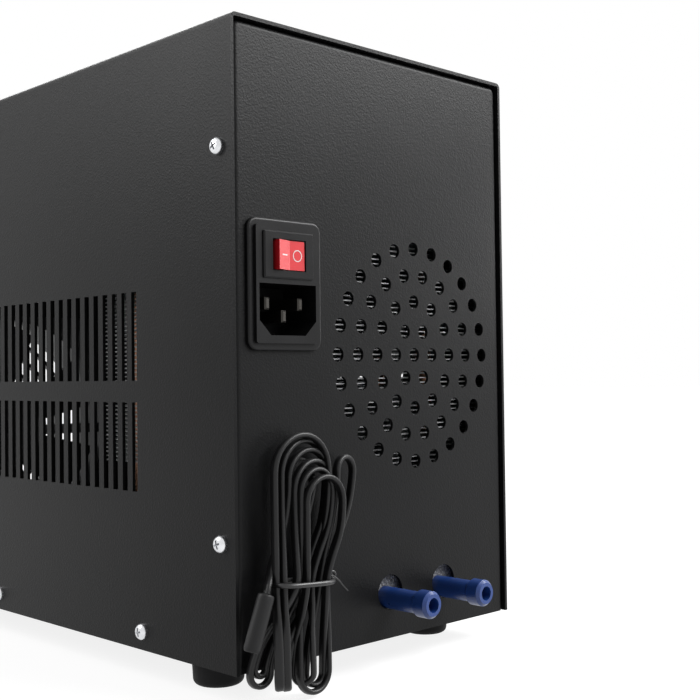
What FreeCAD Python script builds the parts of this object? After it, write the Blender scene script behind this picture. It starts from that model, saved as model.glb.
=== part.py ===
import FreeCAD, Part
import math
import os
import Sketcher
from FreeCAD import Placement, Rotation, Vector

# Aquarium chiller with a thermoelectric core.
# Frame: millimetres, X across the width, Y along the depth with the rear at +Y, Z up.
# Every piece is drawn about the cabinet's rear lower centre and then placed, so that
# the origin ends up on the floor under the middle of the whole chiller.

# Driving dimensions: name, value, what it is.
SIZES = [
    ("cabinet_width", 134.0, "outer width of the cover"),
    ("cabinet_depth", 300.0, "length of the cover, front to rear"),
    ("cabinet_height", 205.0, "bottom edge of the cover to its top"),
    ("cover_sheet", 1.2, "steel thickness of the cover"),
    ("chassis_sheet", 1.2, "steel thickness of pan, end panels and shelf"),
    ("sheet_bend", 2.0, "outside radius of every fold"),
    ("cover_clearance", 0.3, "gap between cover and panels, and between panel lips and pan"),
    ("panel_recess", 1.0, "end panels behind the cover's edges"),
    ("flange_width", 12.0, "folded lips of the pan and the end panels"),
    ("end_rim_height", 4.2, "low rims at the ends of the pan"),
    ("foot_height", 10.0, "rubber feet, floor to chassis"),
    ("foot_radius", 9.0, "top radius of a foot"),
    ("foot_taper", 0.6, "how much smaller the foot is at the floor"),
    ("foot_edge", 2.2, "rounding at the foot's lower rim"),
    ("foot_end_inset", 29.0, "foot centre to the cover's end"),
    ("foot_screw_radius", 2.0, "foot screw shank"),
    ("foot_nut_radius", 3.5, "foot nut, to its corners"),
    ("foot_nut_gap", 0.3, "foot nut to the insulation"),
    ("foot_screw_head", 3.8, "foot screw head radius"),
    ("foot_screw_sink", 4.5, "depth of the screw pocket in a foot"),
    ("slot_width", 3.0, "ventilation slot, along the depth"),
    ("slot_height", 30.3, "ventilation slot, upright"),
    ("slot_pitch", 6.0, "from one slot to the next"),
    ("slot_count", 33, "slots in a row"),
    ("slot_base", 53.0, "lower end of the lower row"),
    ("slot_row_gap", 7.4, "steel left between the two rows"),
    ("screw_edge_inset", 6.7, "end screws to the cover's end"),
    ("screw_upper_level", 163.7, "upper end screws"),
    ("screw_lower_level", 39.8, "lower end screws"),
    ("screw_base_level", 6.3, "row of screws along the bottom"),
    ("screw_base_pitch", 100.0, "spacing of that row"),
    ("screw_radius", 1.5, "cover screw shank"),
    ("screw_head_radius", 2.75, "cover screw head"),
    ("screw_head_height", 1.6, "cover screw head"),
    ("screw_length", 6.0, "cover screw under its head"),
    ("screw_play", 0.1, "hole radius over shank radius"),
    ("grille_level", 98.7, "grille centre above the cover's bottom"),
    ("grille_ring_pitch", 9.5, "from one ring of holes to the next"),
    ("grille_hole_radius", 2.5, "grille hole"),
    ("grille_rings", 4, "rings of holes round the middle one"),
    ("inlet_side_inset", 21.3, "power inlet centre to the cover's side"),
    ("inlet_level", 120.8, "power inlet centre"),
    ("inlet_flange_width", 31.0, "inlet flange"),
    ("inlet_flange_height", 42.0, "inlet flange"),
    ("inlet_flange_thick", 1.5, "inlet flange"),
    ("inlet_flange_corner", 3.5, "inlet flange corner radius"),
    ("inlet_width", 26.4, "inlet body"),
    ("inlet_height", 37.5, "inlet body"),
    ("inlet_proud", 2.6, "inlet body in front of the panel"),
    ("inlet_depth", 27.0, "inlet body behind the panel"),
    ("inlet_corner", 1.0, "inlet body corner radius"),
    ("inlet_play", 0.2, "panel cut-out round the inlet body"),
    ("socket_width", 24.0, "appliance socket recess"),
    ("socket_height", 16.4, "appliance socket recess"),
    ("socket_depth", 16.5, "appliance socket recess"),
    ("socket_chamfer", 4.7, "cut corners of the recess"),
    ("socket_drop", 8.0, "socket centre below the inlet centre"),
    ("pin_width", 2.0, "contact pin"),
    ("pin_height", 4.0, "contact pin"),
    ("pin_reach", 14.5, "contact pin out of the recess floor"),
    ("pin_spacing", 14.0, "outer contact pins, centre to centre"),
    ("pin_row_step", 4.0, "middle pin below the outer ones"),
    ("pin_tail", 8.0, "terminal tab behind the inlet"),
    ("switch_rise", 9.4, "switch centre above the inlet centre"),
    ("bezel_width", 21.0, "switch flange"),
    ("bezel_height", 15.0, "switch flange"),
    ("bezel_thick", 0.9, "switch flange"),
    ("switch_width", 19.0, "switch body"),
    ("switch_height", 12.8, "switch body"),
    ("switch_depth", 17.0, "switch body behind its flange"),
    ("rocker_half_width", 6.2, "rocker, pivot to end"),
    ("rocker_height", 9.4, "rocker, along its pivot"),
    ("rocker_rise", 3.6, "rocker ends above the pivot"),
    ("rocker_sink", 3.0, "pivot below the switch flange's face"),
    ("rocker_angle", 9.0, "rocker tilt to each side, degrees"),
    ("rocker_play", 0.3, "rocker to the walls of its well"),
    ("trunnion_radius", 0.9, "pivot stub of the rocker"),
    ("trunnion_play", 0.05, "running clearance of the pivot stub"),
    ("port_pitch", 28.1, "hose stubs, centre to centre"),
    ("port_level", 13.9, "hose stub centre"),
    ("port_reach", 20.0, "hose stub out of the panel"),
    ("stub_radius", 3.75, "hose stub"),
    ("stub_collar_radius", 4.65, "raised end of the hose stub"),
    ("stub_collar_length", 5.6, "raised end of the hose stub"),
    ("stub_bore_radius", 2.5, "hose stub bore"),
    ("stub_nut_radius", 6.5, "shoulder against the water block"),
    ("stub_nut_length", 3.0, "shoulder against the water block"),
    ("stub_thread_radius", 4.8, "threaded end in the water block"),
    ("stub_thread_length", 8.0, "threaded end in the water block"),
    ("stub_seal_thick", 1.6, "flat seal in front of the shoulder"),
    ("port_hole_radius", 6.1, "panel hole round a hose stub"),
    ("port_hole_level", 15.9, "panel hole centre"),
    ("block_setback", 16.0, "water block behind the panel's inner face"),
    ("block_side", 10.95, "water block beyond the middle of the stubs"),
    ("block_length", 116.0, "water block"),
    ("block_height", 13.0, "water block"),
    ("block_channel_radius", 3.2, "channels in the water block"),
    ("foam_thick", 6.0, "insulation round the water block"),
    ("foam_gap", 1.6, "insulation to the rear panel"),
    ("foam_play", 0.3, "insulation below the heat sinks"),
    ("module_inset", 5.0, "thermoelectric module to the side of the water block"),
    ("module_thick", 3.8, "thermoelectric module"),
    ("sink_base_length", 46.0, "heat sink base along the depth"),
    ("sink_base_height", 10.0, "heat sink base"),
    ("sink_base_shift", 4.0, "heat sink base in front of the middle of its fins"),
    ("pipe_radius", 3.0, "heat pipe"),
    ("pipe_bend", 10.0, "heat pipe bend, to its middle line"),
    ("pipe_spacing", 26.0, "the two heat pipes of one sink"),
    ("pipe_top", 1.6, "heat pipe above the last fin"),
    ("fin_side_gap", 2.9, "fins to the panel's side"),
    ("fin_inlet_gap", 3.1, "fins to the inlet body"),
    ("fin_length", 60.0, "fin along the depth"),
    ("fin_thick", 0.4, "fin"),
    ("fin_step", 1.7, "from one fin to the next"),
    ("fin_count", 49, "fins on one sink"),
    ("fin_base", 58.0, "lowest fin"),
    ("sink_setback", 5.8, "first fins behind the panel's inner face"),
    ("sink_gap", 5.0, "between the two heat sinks"),
    ("clamp_radius", 1.5, "clamp screw shank"),
    ("clamp_head_radius", 2.7, "clamp screw head"),
    ("clamp_head_height", 2.0, "clamp screw head"),
    ("clamp_inset", 2.6, "clamp screw centre to the base's edge"),
    ("fan_side_gap", 7.0, "fan frame to the cover's side"),
    ("fan_floor_gap", 4.6, "fan frame above the cover's bottom"),
    ("fan_thick", 25.0, "fan frame"),
    ("fan_corner", 6.0, "fan frame corner radius"),
    ("fan_wall", 2.0, "fan frame at its thinnest"),
    ("fan_hole_inset", 7.5, "fan fixing holes to the frame's side"),
    ("fan_screw_radius", 2.0, "fan screw shank"),
    ("fan_screw_head", 3.6, "fan screw head radius"),
    ("fan_hub_radius", 20.0, "fan hub"),
    ("fan_hub_plate", 3.5, "motor plate of the frame"),
    ("fan_strut_width", 5.0, "struts of the motor plate"),
    ("fan_tip_gap", 1.4, "blade tips to the frame"),
    ("fan_blade_count", 7, "blades"),
    ("fan_blade_thick", 1.6, "blade"),
    ("fan_shaft_radius", 1.5, "fan shaft"),
    ("fan_shaft_play", 0.05, "running clearance of the fan shaft"),
    ("fan_running_gap", 0.8, "rotor to the motor plate"),
    ("guard_thick", 3.0, "finger guard"),
    ("guard_first_ring", 5.0, "outermost ring inside the guard's opening"),
    ("guard_ring_pitch", 7.5, "rings of the finger guard"),
    ("guard_ring_width", 1.7, "rings of the finger guard"),
    ("guard_ring_count", 6, "rings of the finger guard"),
    ("guard_spoke_width", 3.0, "spokes of the finger guard"),
    ("shelf_level", 146.0, "underside of the shelf"),
    ("shelf_side_gap", 6.5, "shelf to the panel's side"),
    ("shelf_lip", 10.0, "upturned ends of the shelf"),
    ("cable_slot_width", 8.0, "slot for the wires in the shelf"),
    ("supply_width", 97.0, "power supply"),
    ("supply_length", 159.0, "power supply"),
    ("supply_height", 30.0, "power supply"),
    ("supply_setback", 60.0, "power supply behind the front panel"),
    ("supply_screw_radius", 1.5, "screws under the power supply"),
    ("supply_screw_head", 2.8, "screws under the power supply"),
    ("supply_screw_grip", 4.0, "depth of these screws in the supply's case"),
    ("supply_screw_inset", 20.0, "these screws to the supply's ends"),
    ("terminal_length", 16.0, "terminal block"),
    ("terminal_height", 14.0, "terminal block"),
    ("terminal_count", 7, "ways of the terminal block"),
    ("bezel_panel_inset", 17.0, "control bezel to the cover's side"),
    ("bezel_panel_gap", 3.3, "control bezel above the shelf"),
    ("bezel_panel_drop", 9.0, "control bezel below the panel's top"),
    ("bezel_panel_thick", 1.6, "control bezel in front of the panel"),
    ("bezel_panel_corner", 4.0, "control bezel corner radius"),
    ("bezel_panel_depth", 7.0, "control bezel behind the panel"),
    ("bezel_panel_wall", 2.0, "control bezel wall"),
    ("bezel_lip", 2.5, "control bezel beyond its cut-out"),
    ("window_thick", 1.6, "display window"),
    ("window_seat", 1.5, "ledge round the display window"),
    ("display_depth", 5.0, "digit display behind the window"),
    ("button_radius", 4.0, "push button"),
    ("button_proud", 0.9, "push button in front of the bezel"),
    ("button_flange", 1.2, "push button rim over its hole"),
    ("button_rim_thick", 1.0, "push button rim"),
    ("button_travel", 0.6, "push button stroke"),
    ("button_play", 0.3, "push button in its hole"),
    ("board_thick", 1.6, "control board"),
    ("cord_diameter", 2.7, "probe cord"),
    ("cord_exit_shift", 6.7, "where the probe cord leaves, from the inlet towards the core"),
    ("cord_exit_level", 60.0, "where the probe cord leaves"),
    ("grommet_radius", 3.4, "grommet neck in the panel"),
    ("grommet_flange_radius", 5.2, "grommet rims"),
    ("grommet_flange_thick", 1.5, "grommet rims"),
    ("hank_height", 81.7, "hank from its lowest to its highest loop"),
    ("hank_standoff", 1.6, "back of the hank in front of the panel"),
    ("probe_radius", 2.55, "temperature probe"),
    ("probe_length", 18.0, "temperature probe"),
    ("tie_height", 2.6, "tie round the hank"),
    ("tie_thick", 1.4, "tie round the hank"),
    ("tie_play", 0.3, "tie to the hank"),
]

# Sizes that follow from those above: name, formula, what it is.
FORMULAS = [
    ("inlet_offset", "cabinet_width / 2 - inlet_side_inset", "power inlet, off centre to +X"),
    ("fin_left", "fin_side_gap + cover_sheet + cover_clearance - cabinet_width / 2",
     "end of the fins towards -X"),
    ("fin_right", "inlet_offset - inlet_width / 2 - fin_inlet_gap", "end of the fins towards +X"),
    ("fin_width", "fin_right - fin_left", "fin across the cabinet"),
    ("core_offset", "-(fin_left + fin_right) / 2", "cooling core and grille, off centre to -X"),
    ("block_width", "port_pitch + 2 * block_side", "water block"),
    ("module_side", "block_width - 2 * module_inset", "thermoelectric module"),
    ("pipe_spread", "fin_width * 18 / 23", "legs of a heat pipe, centre to centre"),
    ("foot_side_inset", "cabinet_width / 2 - core_offset - block_width / 2 - foam_thick"
     " - foot_nut_gap - foot_nut_radius", "foot centre to the cover's side"),
    ("fan_side", "cabinet_width - 2 * fan_side_gap", "fan frame"),
    ("fan_level", "fan_side / 2 + fan_floor_gap", "fan centre above the cover's bottom"),
    ("fan_bore_radius", "fan_side / 2 - fan_wall", "air way through the fan frame"),
    ("fan_hole_pitch", "fan_side - 2 * fan_hole_inset", "fan fixing holes, centre to centre"),
    ("fan_blade_radius", "fan_bore_radius - fan_tip_gap", "blade tips"),
    ("shelf_width", "cabinet_width - 2 * (cover_sheet + cover_clearance + shelf_side_gap)", "shelf"),
    ("bezel_panel_width", "cabinet_width - 2 * bezel_panel_inset", "control bezel"),
    ("bezel_panel_height", "cabinet_height - cover_sheet - cover_clearance - bezel_panel_drop"
     " - shelf_level - chassis_sheet - bezel_panel_gap", "control bezel"),
    ("bezel_panel_level", "shelf_level + chassis_sheet + bezel_panel_gap + bezel_panel_height / 2",
     "control bezel centre"),
    ("window_width", "bezel_panel_width * 0.46", "display window"),
    ("window_height", "bezel_panel_height / 2", "display window"),
    ("window_offset", "bezel_panel_width / 5", "display window, off centre"),
    ("button_pitch", "bezel_panel_width * 0.13", "push buttons, centre to centre"),
    ("button_offset", "bezel_panel_width / 4", "middle button, off centre"),
    ("cord_exit_offset", "inlet_offset - cord_exit_shift", "where the probe cord leaves, off centre"),
]

document = FreeCAD.newDocument("aquarium_chiller")
sheet = document.addObject("Spreadsheet::Sheet", "Sizes")
ROWS = SIZES + [(name, f"={formula}", meaning) for name, formula, meaning in FORMULAS]
for row, (name, value, meaning) in enumerate(ROWS, 1):
    sheet.set(f"A{row}", name)
    sheet.set(f"B{row}", str(value))
    sheet.set(f"C{row}", meaning)
    sheet.setAlias(f"B{row}", name)
document.recompute()


class Length:
    """A length with the sheet formula that gives it and its present value."""

    def __init__(self, text, value):
        self.text = text
        self.value = value

    def __add__(self, other):
        other = length(other)
        return Length(f"({self.text} + {other.text})", self.value + other.value)

    def __sub__(self, other):
        other = length(other)
        return Length(f"({self.text} - {other.text})", self.value - other.value)

    def __mul__(self, other):
        other = length(other)
        return Length(f"({self.text} * {other.text})", self.value * other.value)

    def __truediv__(self, other):
        other = length(other)
        return Length(f"({self.text} / {other.text})", self.value / other.value)

    def __neg__(self):
        return Length(f"(-1 * {self.text})", -self.value)


def length(value):
    if isinstance(value, Length):
        return value
    return Length(f"({float(value)!r})", float(value))


S = {name: Length(f"Sizes.{name}", float(sheet.get(name))) for name, _, _ in ROWS}
ZERO = length(0)

# Planes and levels that several pieces share.
half_width = S["cabinet_width"] / 2
rear_face = -S["panel_recess"]
rear_inside = rear_face - S["chassis_sheet"]
front_face = S["panel_recess"] - S["cabinet_depth"]
front_inside = front_face + S["chassis_sheet"]
floor_inside = S["chassis_sheet"]
chassis_half = half_width - S["cover_sheet"] - S["cover_clearance"]
chassis_top = S["cabinet_height"] - S["cover_sheet"] - S["cover_clearance"]
mid_depth = -S["cabinet_depth"] / 2
core_x = -S["core_offset"]
block_bottom = S["port_level"] - S["block_height"] / 2
block_top = S["port_level"] + S["block_height"] / 2
block_rear = rear_inside - S["block_setback"]
sink_base_bottom = block_top + S["module_thick"]
sink_base_top = sink_base_bottom + S["sink_base_height"]
pipe_level = sink_base_bottom + S["sink_base_height"] / 2
fin_rear = rear_inside - S["sink_setback"]
fin_centres = [
    fin_rear - S["fin_length"] / 2,
    fin_rear - S["fin_length"] * 1.5 - S["sink_gap"],
]
sink_centres = [centre - S["sink_base_shift"] for centre in fin_centres]
fin_top = S["fin_base"] + S["fin_step"] * (S["fin_count"] - 1) + S["fin_thick"]
guard_face = front_face - S["guard_thick"]
port_end = rear_face + S["port_reach"]

# The whole chiller, stubs and finger guard included, is centred over the origin.
shift_y = -(guard_face + port_end) / 2
shift_z = S["foot_height"]


class Ring:
    """A circle of a sketch."""

    def __init__(self, centre_x, centre_y, radius):
        self.centre_x = length(centre_x)
        self.centre_y = length(centre_y)
        self.radius = length(radius)

    def draw(self, sketch):
        centre = Vector(self.centre_x.value, self.centre_y.value, 0)
        circle = Part.Circle(centre, Vector(0, 0, 1), self.radius.value)
        index = sketch.addGeometry(circle, False)
        pin_point(sketch, index, 3, self.centre_x, self.centre_y)
        hold(sketch, Sketcher.Constraint("Radius", index, self.radius.value), self.radius)


class Loop:
    """A closed outline; a corner's third value rounds a square corner."""

    def __init__(self, corners):
        self.corners = [
            (length(c[0]), length(c[1]), length(c[2]) if len(c) > 2 else ZERO)
            for c in corners
        ]

    def stops(self):
        """The outline's joints in order, each with the rounding that starts there."""
        found = []
        count = len(self.corners)
        for i, (x, y, r) in enumerate(self.corners):
            if r.value <= 0:
                found.append((x, y, None))
                continue
            before = self.corners[i - 1]
            after = self.corners[(i + 1) % count]
            found.append(self.along(x, y, r, before) + ((r, (x, y)),))
            found.append(self.along(x, y, r, after) + (None,))
        return found

    @staticmethod
    def along(x, y, r, towards):
        dx = towards[0].value - x.value
        dy = towards[1].value - y.value
        if abs(dx) > abs(dy):
            return (x + r, y) if dx > 0 else (x - r, y)
        return (x, y + r) if dy > 0 else (x, y - r)

    def draw(self, sketch):
        stops = self.stops()
        count = len(stops)
        ends = []
        for i, (x, y, rounding) in enumerate(stops):
            nx, ny, _ = stops[(i + 1) % count]
            first = Vector(x.value, y.value, 0)
            last = Vector(nx.value, ny.value, 0)
            if rounding is None:
                index = sketch.addGeometry(Part.LineSegment(first, last), False)
                ends.append((index, 1, 2))
                continue
            radius, corner = rounding
            centre = first + last - Vector(corner[0].value, corner[1].value, 0)
            left_turn = (first - centre).cross(last - centre).z > 0
            start, stop = (first, last) if left_turn else (last, first)
            turn = [math.atan2(p.y - centre.y, p.x - centre.x) for p in (start, stop)]
            circle = Part.Circle(centre, Vector(0, 0, 1), radius.value)
            index = sketch.addGeometry(Part.ArcOfCircle(circle, turn[0], turn[1]), False)
            ends.append((index, 1, 2) if left_turn else (index, 2, 1))
            hold(sketch, Sketcher.Constraint("Radius", index, radius.value), radius)
        for i, (x, y, _) in enumerate(stops):
            index, first, _ = ends[i]
            before, _, last = ends[i - 1]
            sketch.addConstraint(Sketcher.Constraint("Coincident", before, last, index, first))
            pin_point(sketch, index, first, x, y)


def rectangle(left, bottom, right, top, corner=0):
    corners = [(left, bottom), (right, bottom), (right, top), (left, top)]
    return Loop([(x, y, corner) for x, y in corners])


def centred(centre_x, centre_y, width, height, corner=0):
    half_w = length(width) / 2
    half_h = length(height) / 2
    x = length(centre_x)
    y = length(centre_y)
    return rectangle(x - half_w, y - half_h, x + half_w, y + half_h, corner)


def hold(sketch, constraint, size):
    index = sketch.addConstraint(constraint)
    sketch.setExpression(f"Constraints[{index}]", size.text)


def pin_point(sketch, index, point, x, y):
    for kind, size in (("DistanceX", x), ("DistanceY", y)):
        constraint = Sketcher.Constraint(kind, -1, 1, index, point, size.value)
        hold(sketch, constraint, size)


PLANE_ROLES = {"XY": "XY_Plane", "XZ": "XZ_Plane", "YZ": "YZ_Plane"}
AXIS_ROLES = {"X": "X_Axis", "Y": "Y_Axis", "Z": "Z_Axis"}


def origin_feature(body, role):
    return [f for f in body.Origin.OriginFeatures if f.Role == role][0]


def place(item, x=0, y=0, z=0, rotation=None):
    """Puts a piece drawn about the cabinet's rear lower centre into the row's frame."""
    spot = (length(x), length(y) + shift_y, length(z) + shift_z)
    item.Placement = Placement(Vector(*[s.value for s in spot]), rotation or Rotation())
    for axis, size in zip("xyz", spot):
        item.setExpression(f"Placement.Base.{axis}", size.text)


pieces = []


def new_piece(label, kept=True):
    body = document.addObject("PartDesign::Body", label)
    body.Label = label
    body.AllowCompound = True
    if kept:
        pieces.append(body)
    return body


def draw(body, name, plane, level, loops, centre=None):
    """A sketch on one of the piece's origin planes, at a level along +X, +Y or +Z."""
    sketch = body.newObject("Sketcher::SketchObject", name)
    sketch.AttachmentSupport = [(origin_feature(body, PLANE_ROLES[plane]), "")]
    sketch.MapMode = "FlatFace"
    away = -length(level) if plane == "XZ" else length(level)
    offset = Vector(0, 0, away.value)
    if centre:
        offset = Vector(length(centre[0]).value, length(centre[1]).value, away.value)
    sketch.AttachmentOffset = Placement(offset, Rotation())
    sketch.setExpression("AttachmentOffset.Base.z", away.text)
    if centre:
        sketch.setExpression("AttachmentOffset.Base.x", length(centre[0]).text)
        sketch.setExpression("AttachmentOffset.Base.y", length(centre[1]).text)
    for loop in loops:
        loop.draw(sketch)
    sketch.Visibility = False
    return sketch


def add(body, name, plane, low, high, loops, centre=None):
    """Pads the outline from one level to another along the plane's axis."""
    level = high if plane == "XZ" else low
    sketch = draw(body, name + "_outline", plane, level, loops, centre)
    pad = body.newObject("PartDesign::Pad", name)
    pad.Profile = sketch
    pad.setExpression("Length", (length(high) - length(low)).text)
    return pad


def cut(body, name, plane, low, high, loops, centre=None):
    """Pockets the outline from one level to another along the plane's axis."""
    level = low if plane == "XZ" else high
    sketch = draw(body, name + "_outline", plane, level, loops, centre)
    pocket = body.newObject("PartDesign::Pocket", name)
    pocket.Profile = sketch
    pocket.setExpression("Length", (length(high) - length(low)).text)
    return pocket


def turn(body, name, plane, loops, axis="V_Axis", level=0, centre=None):
    """Revolves the outline about the sketch's own upright or level axis."""
    sketch = draw(body, name + "_outline", plane, level, loops, centre)
    revolution = body.newObject("PartDesign::Revolution", name)
    revolution.Profile = sketch
    revolution.ReferenceAxis = (sketch, [axis])
    revolution.Angle = 360.0
    return revolution


def repeat_round(body, name, feature, count):
    pattern = body.newObject("PartDesign::PolarPattern", name)
    pattern.Originals = [feature]
    pattern.Axis = (feature.Profile[0], ["N_Axis"])
    pattern.Angle = 360.0
    pattern.setExpression("Occurrences", count.text)
    body.Tip = pattern
    return pattern


def repeat_along(body, name, feature, axis, reach, count, reverse=False):
    pattern = body.newObject("PartDesign::LinearPattern", name)
    pattern.Originals = [feature]
    pattern.Direction = (origin_feature(body, AXIS_ROLES[axis]), [""])
    pattern.setExpression("Length", reach.text)
    pattern.Reversed = reverse
    pattern.setExpression("Occurrences", count.text)
    body.Tip = pattern
    return pattern


def mirror(body, name, features, role="YZ_Plane"):
    mirrored = body.newObject("PartDesign::Mirrored", name)
    mirrored.Originals = features
    mirrored.MirrorPlane = (origin_feature(body, role), [""])
    body.Tip = mirrored
    return mirrored


def round_edges(body, name, radius, wanted, kind="PartDesign::Fillet"):
    """Rounds or chamfers the edges of the piece that the test picks."""
    document.recompute()
    base = body.Tip
    names = [f"Edge{i}" for i, edge in enumerate(base.Shape.Edges, 1) if wanted(edge)]
    if not names:
        raise RuntimeError(f"{body.Label}: no edge for {name}")
    feature = body.newObject(kind, name)
    feature.Base = (base, names)
    size = "Radius" if kind == "PartDesign::Fillet" else "Size"
    feature.setExpression(size, radius.text)
    body.Tip = feature
    return feature


def near(value, size, slack=1e-4):
    return abs(value - length(size).value) < slack


def lies_on(edge, axis, size):
    """True for an edge that lies wholly in the plane where that axis has that value."""
    index = "XYZ".index(axis)
    box = edge.BoundBox
    low = (box.XMin, box.YMin, box.ZMin)[index]
    high = (box.XMax, box.YMax, box.ZMax)[index]
    return near(low, size) and near(high, size)


def copies(label, pattern_piece, spots):
    """One node of separate solids: the pattern piece set at each spot."""
    document.recompute()
    group = document.addObject("Part::Feature", label)
    group.Label = label
    solids = []
    for point, rotation in spots:
        solid = pattern_piece.Shape.copy()
        solid.Placement = Placement(Vector(*[length(p).value for p in point]), rotation)
        solids.append(solid)
    group.Shape = Part.makeCompound(solids)
    pieces.append(group)
    return group


# The heads of screws made with this lie at the origin and their shanks point down -Z.
def screw_pattern(label, shank, under_head, head_radius, head_height):
    body = new_piece(label, kept=False)
    bevel = head_height * 0.45
    outline = Loop([
        (0, -under_head),
        (shank, -under_head),
        (shank, 0),
        (head_radius, 0),
        (head_radius, head_height - bevel),
        (head_radius - bevel, head_height),
        (0, head_height),
    ])
    turn(body, "blank", "XZ", [outline])
    return body


TO_PLUS_X = Rotation(Vector(0, 1, 0), 90)
TO_MINUS_X = Rotation(Vector(0, 1, 0), -90)
TO_MINUS_Y = Rotation(Vector(1, 0, 0), 90)
DOWN = Rotation(Vector(1, 0, 0), 180)
UP = Rotation()


# Cabinet

def grille_holes(body):
    """Rings of round holes, six more in each ring than in the one inside it."""
    low = rear_inside - 1
    high = rear_face + 1
    middle = (core_x, S["grille_level"])
    cut(body, "grille_middle", "XZ", low, high, [Ring(0, 0, S["grille_hole_radius"])], middle)
    for ring in range(1, int(S["grille_rings"].value) + 1):
        hole = Ring(S["grille_ring_pitch"] * ring, 0, S["grille_hole_radius"])
        first = cut(body, f"grille_ring{ring}_hole", "XZ", low, high, [hole], middle)
        repeat_round(body, f"grille_ring{ring}", first, length(6 * ring))


def end_screw_spots():
    """Cover screws of one side into the end panels, as distance along Y and height."""
    columns = [-S["screw_edge_inset"], S["screw_edge_inset"] - S["cabinet_depth"]]
    return [(y, S[level]) for y in columns for level in ("screw_upper_level", "screw_lower_level")]


def base_screw_spots():
    """Cover screws of one side into the pan."""
    return [(mid_depth + S["screw_base_pitch"] * step, S["screw_base_level"]) for step in (-1, 0, 1)]


def screw_spots():
    return end_screw_spots() + base_screw_spots()


def foot_spots():
    x = half_width - S["foot_side_inset"]
    rear = -S["foot_end_inset"]
    front = S["foot_end_inset"] - S["cabinet_depth"]
    return [(x, rear), (-x, rear), (x, front), (-x, front)]


def fan_holes(radius):
    half = S["fan_hole_pitch"] / 2
    return [Ring(half * a, S["fan_level"] + half * b, radius) for a in (-1, 1) for b in (-1, 1)]


def port_x(side):
    return core_x + S["port_pitch"] / 2 * side


def inner_corner():
    return S["sheet_bend"] * 1.5 - S["chassis_sheet"]


def make_base_pan():
    body = new_piece("base_pan")
    sheet_t = S["chassis_sheet"]
    bend = S["sheet_bend"]
    lip = S["flange_width"]
    outer = rectangle(-chassis_half, front_inside, chassis_half, rear_inside, bend * 1.5)
    add(body, "blank", "XY", 0, lip, [outer])
    round_edges(body, "folds", bend, lambda e: lies_on(e, "Z", 0))
    inner = rectangle(sheet_t - chassis_half, front_inside + sheet_t, chassis_half - sheet_t,
                      rear_inside - sheet_t, inner_corner())
    cut(body, "hollow", "XY", sheet_t, lip + 1, [inner])
    between = chassis_half - sheet_t - bend * 1.4
    low_end = rectangle(-between, S["end_rim_height"], between, lip + 1)
    cut(body, "low_ends", "XZ", front_inside - 1, rear_inside + 1, [low_end])
    hole = S["foot_screw_radius"] + S["screw_play"]
    cut(body, "foot_holes", "XY", length(-1), sheet_t + 1,
        [Ring(x, y, hole) for x, y in foot_spots()])
    hole = S["screw_radius"] + S["screw_play"]
    cut(body, "screw_holes", "YZ", -half_width, half_width,
        [Ring(y, z, hole) for y, z in base_screw_spots()])
    place(body)


def end_panel(name, face, inside, lip_end):
    """A sheet with lips folded inwards at its sides and its top."""
    body = new_piece(name)
    sheet_t = S["chassis_sheet"]
    corner = S["sheet_bend"] * 1.5
    outer = Loop([
        (-chassis_half, 0),
        (chassis_half, 0),
        (chassis_half, chassis_top, corner),
        (-chassis_half, chassis_top, corner),
    ])
    add(body, "blank", "XZ", *in_order(lip_end, face), [outer])
    round_edges(body, "folds", S["sheet_bend"],
                lambda e: lies_on(e, "Y", face) and not lies_on(e, "Z", 0))
    side = chassis_half - sheet_t
    hollow = Loop([
        (-side, -1),
        (side, -1),
        (side, chassis_top - sheet_t, inner_corner()),
        (-side, chassis_top - sheet_t, inner_corner()),
    ])
    outwards = 1 if face.value > inside.value else -1
    past_lips = lip_end - outwards
    cut(body, "hollow", "XZ", *in_order(past_lips, inside), [hollow])
    above_pan = S["flange_width"] + S["cover_clearance"]
    notch = rectangle(-half_width, -1, half_width, above_pan)
    cut(body, "room_for_pan", "XZ", *in_order(past_lips, inside), [notch])
    hole = S["screw_radius"] + S["screw_play"]
    spots = [spot for spot in end_screw_spots() if abs(spot[0].value - face.value) < S["flange_width"].value]
    cut(body, "screw_holes", "YZ", -half_width, half_width, [Ring(y, z, hole) for y, z in spots])
    return body


def in_order(first, last):
    return (first, last) if first.value < last.value else (last, first)


def make_rear_panel():
    body = end_panel("rear_panel", rear_face, rear_inside, rear_face - S["flange_width"])
    grille_holes(body)
    cut_out = centred(S["inlet_offset"], S["inlet_level"], S["inlet_width"] + S["inlet_play"] * 2,
                      S["inlet_height"] + S["inlet_play"] * 2, S["inlet_corner"])
    openings = [cut_out, Ring(S["cord_exit_offset"], S["cord_exit_level"], S["grommet_radius"])]
    openings += [Ring(port_x(side), S["port_hole_level"], S["port_hole_radius"]) for side in (-1, 1)]
    cut(body, "rear_openings", "XZ", rear_inside - 1, rear_face + 1, openings)
    place(body)


def make_front_panel():
    body = end_panel("front_panel", front_face, front_inside, front_face + S["flange_width"])
    window = centred(0, S["bezel_panel_level"], S["bezel_panel_width"] - S["bezel_lip"] * 2,
                     S["bezel_panel_height"] - S["bezel_lip"] * 2, S["bezel_panel_corner"] / 2)
    openings = [window, Ring(0, S["fan_level"], S["fan_bore_radius"])]
    openings += fan_holes(S["fan_screw_radius"] + S["screw_play"])
    cut(body, "front_openings", "XZ", front_face - 1, front_inside + 1, openings)
    place(body)


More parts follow.
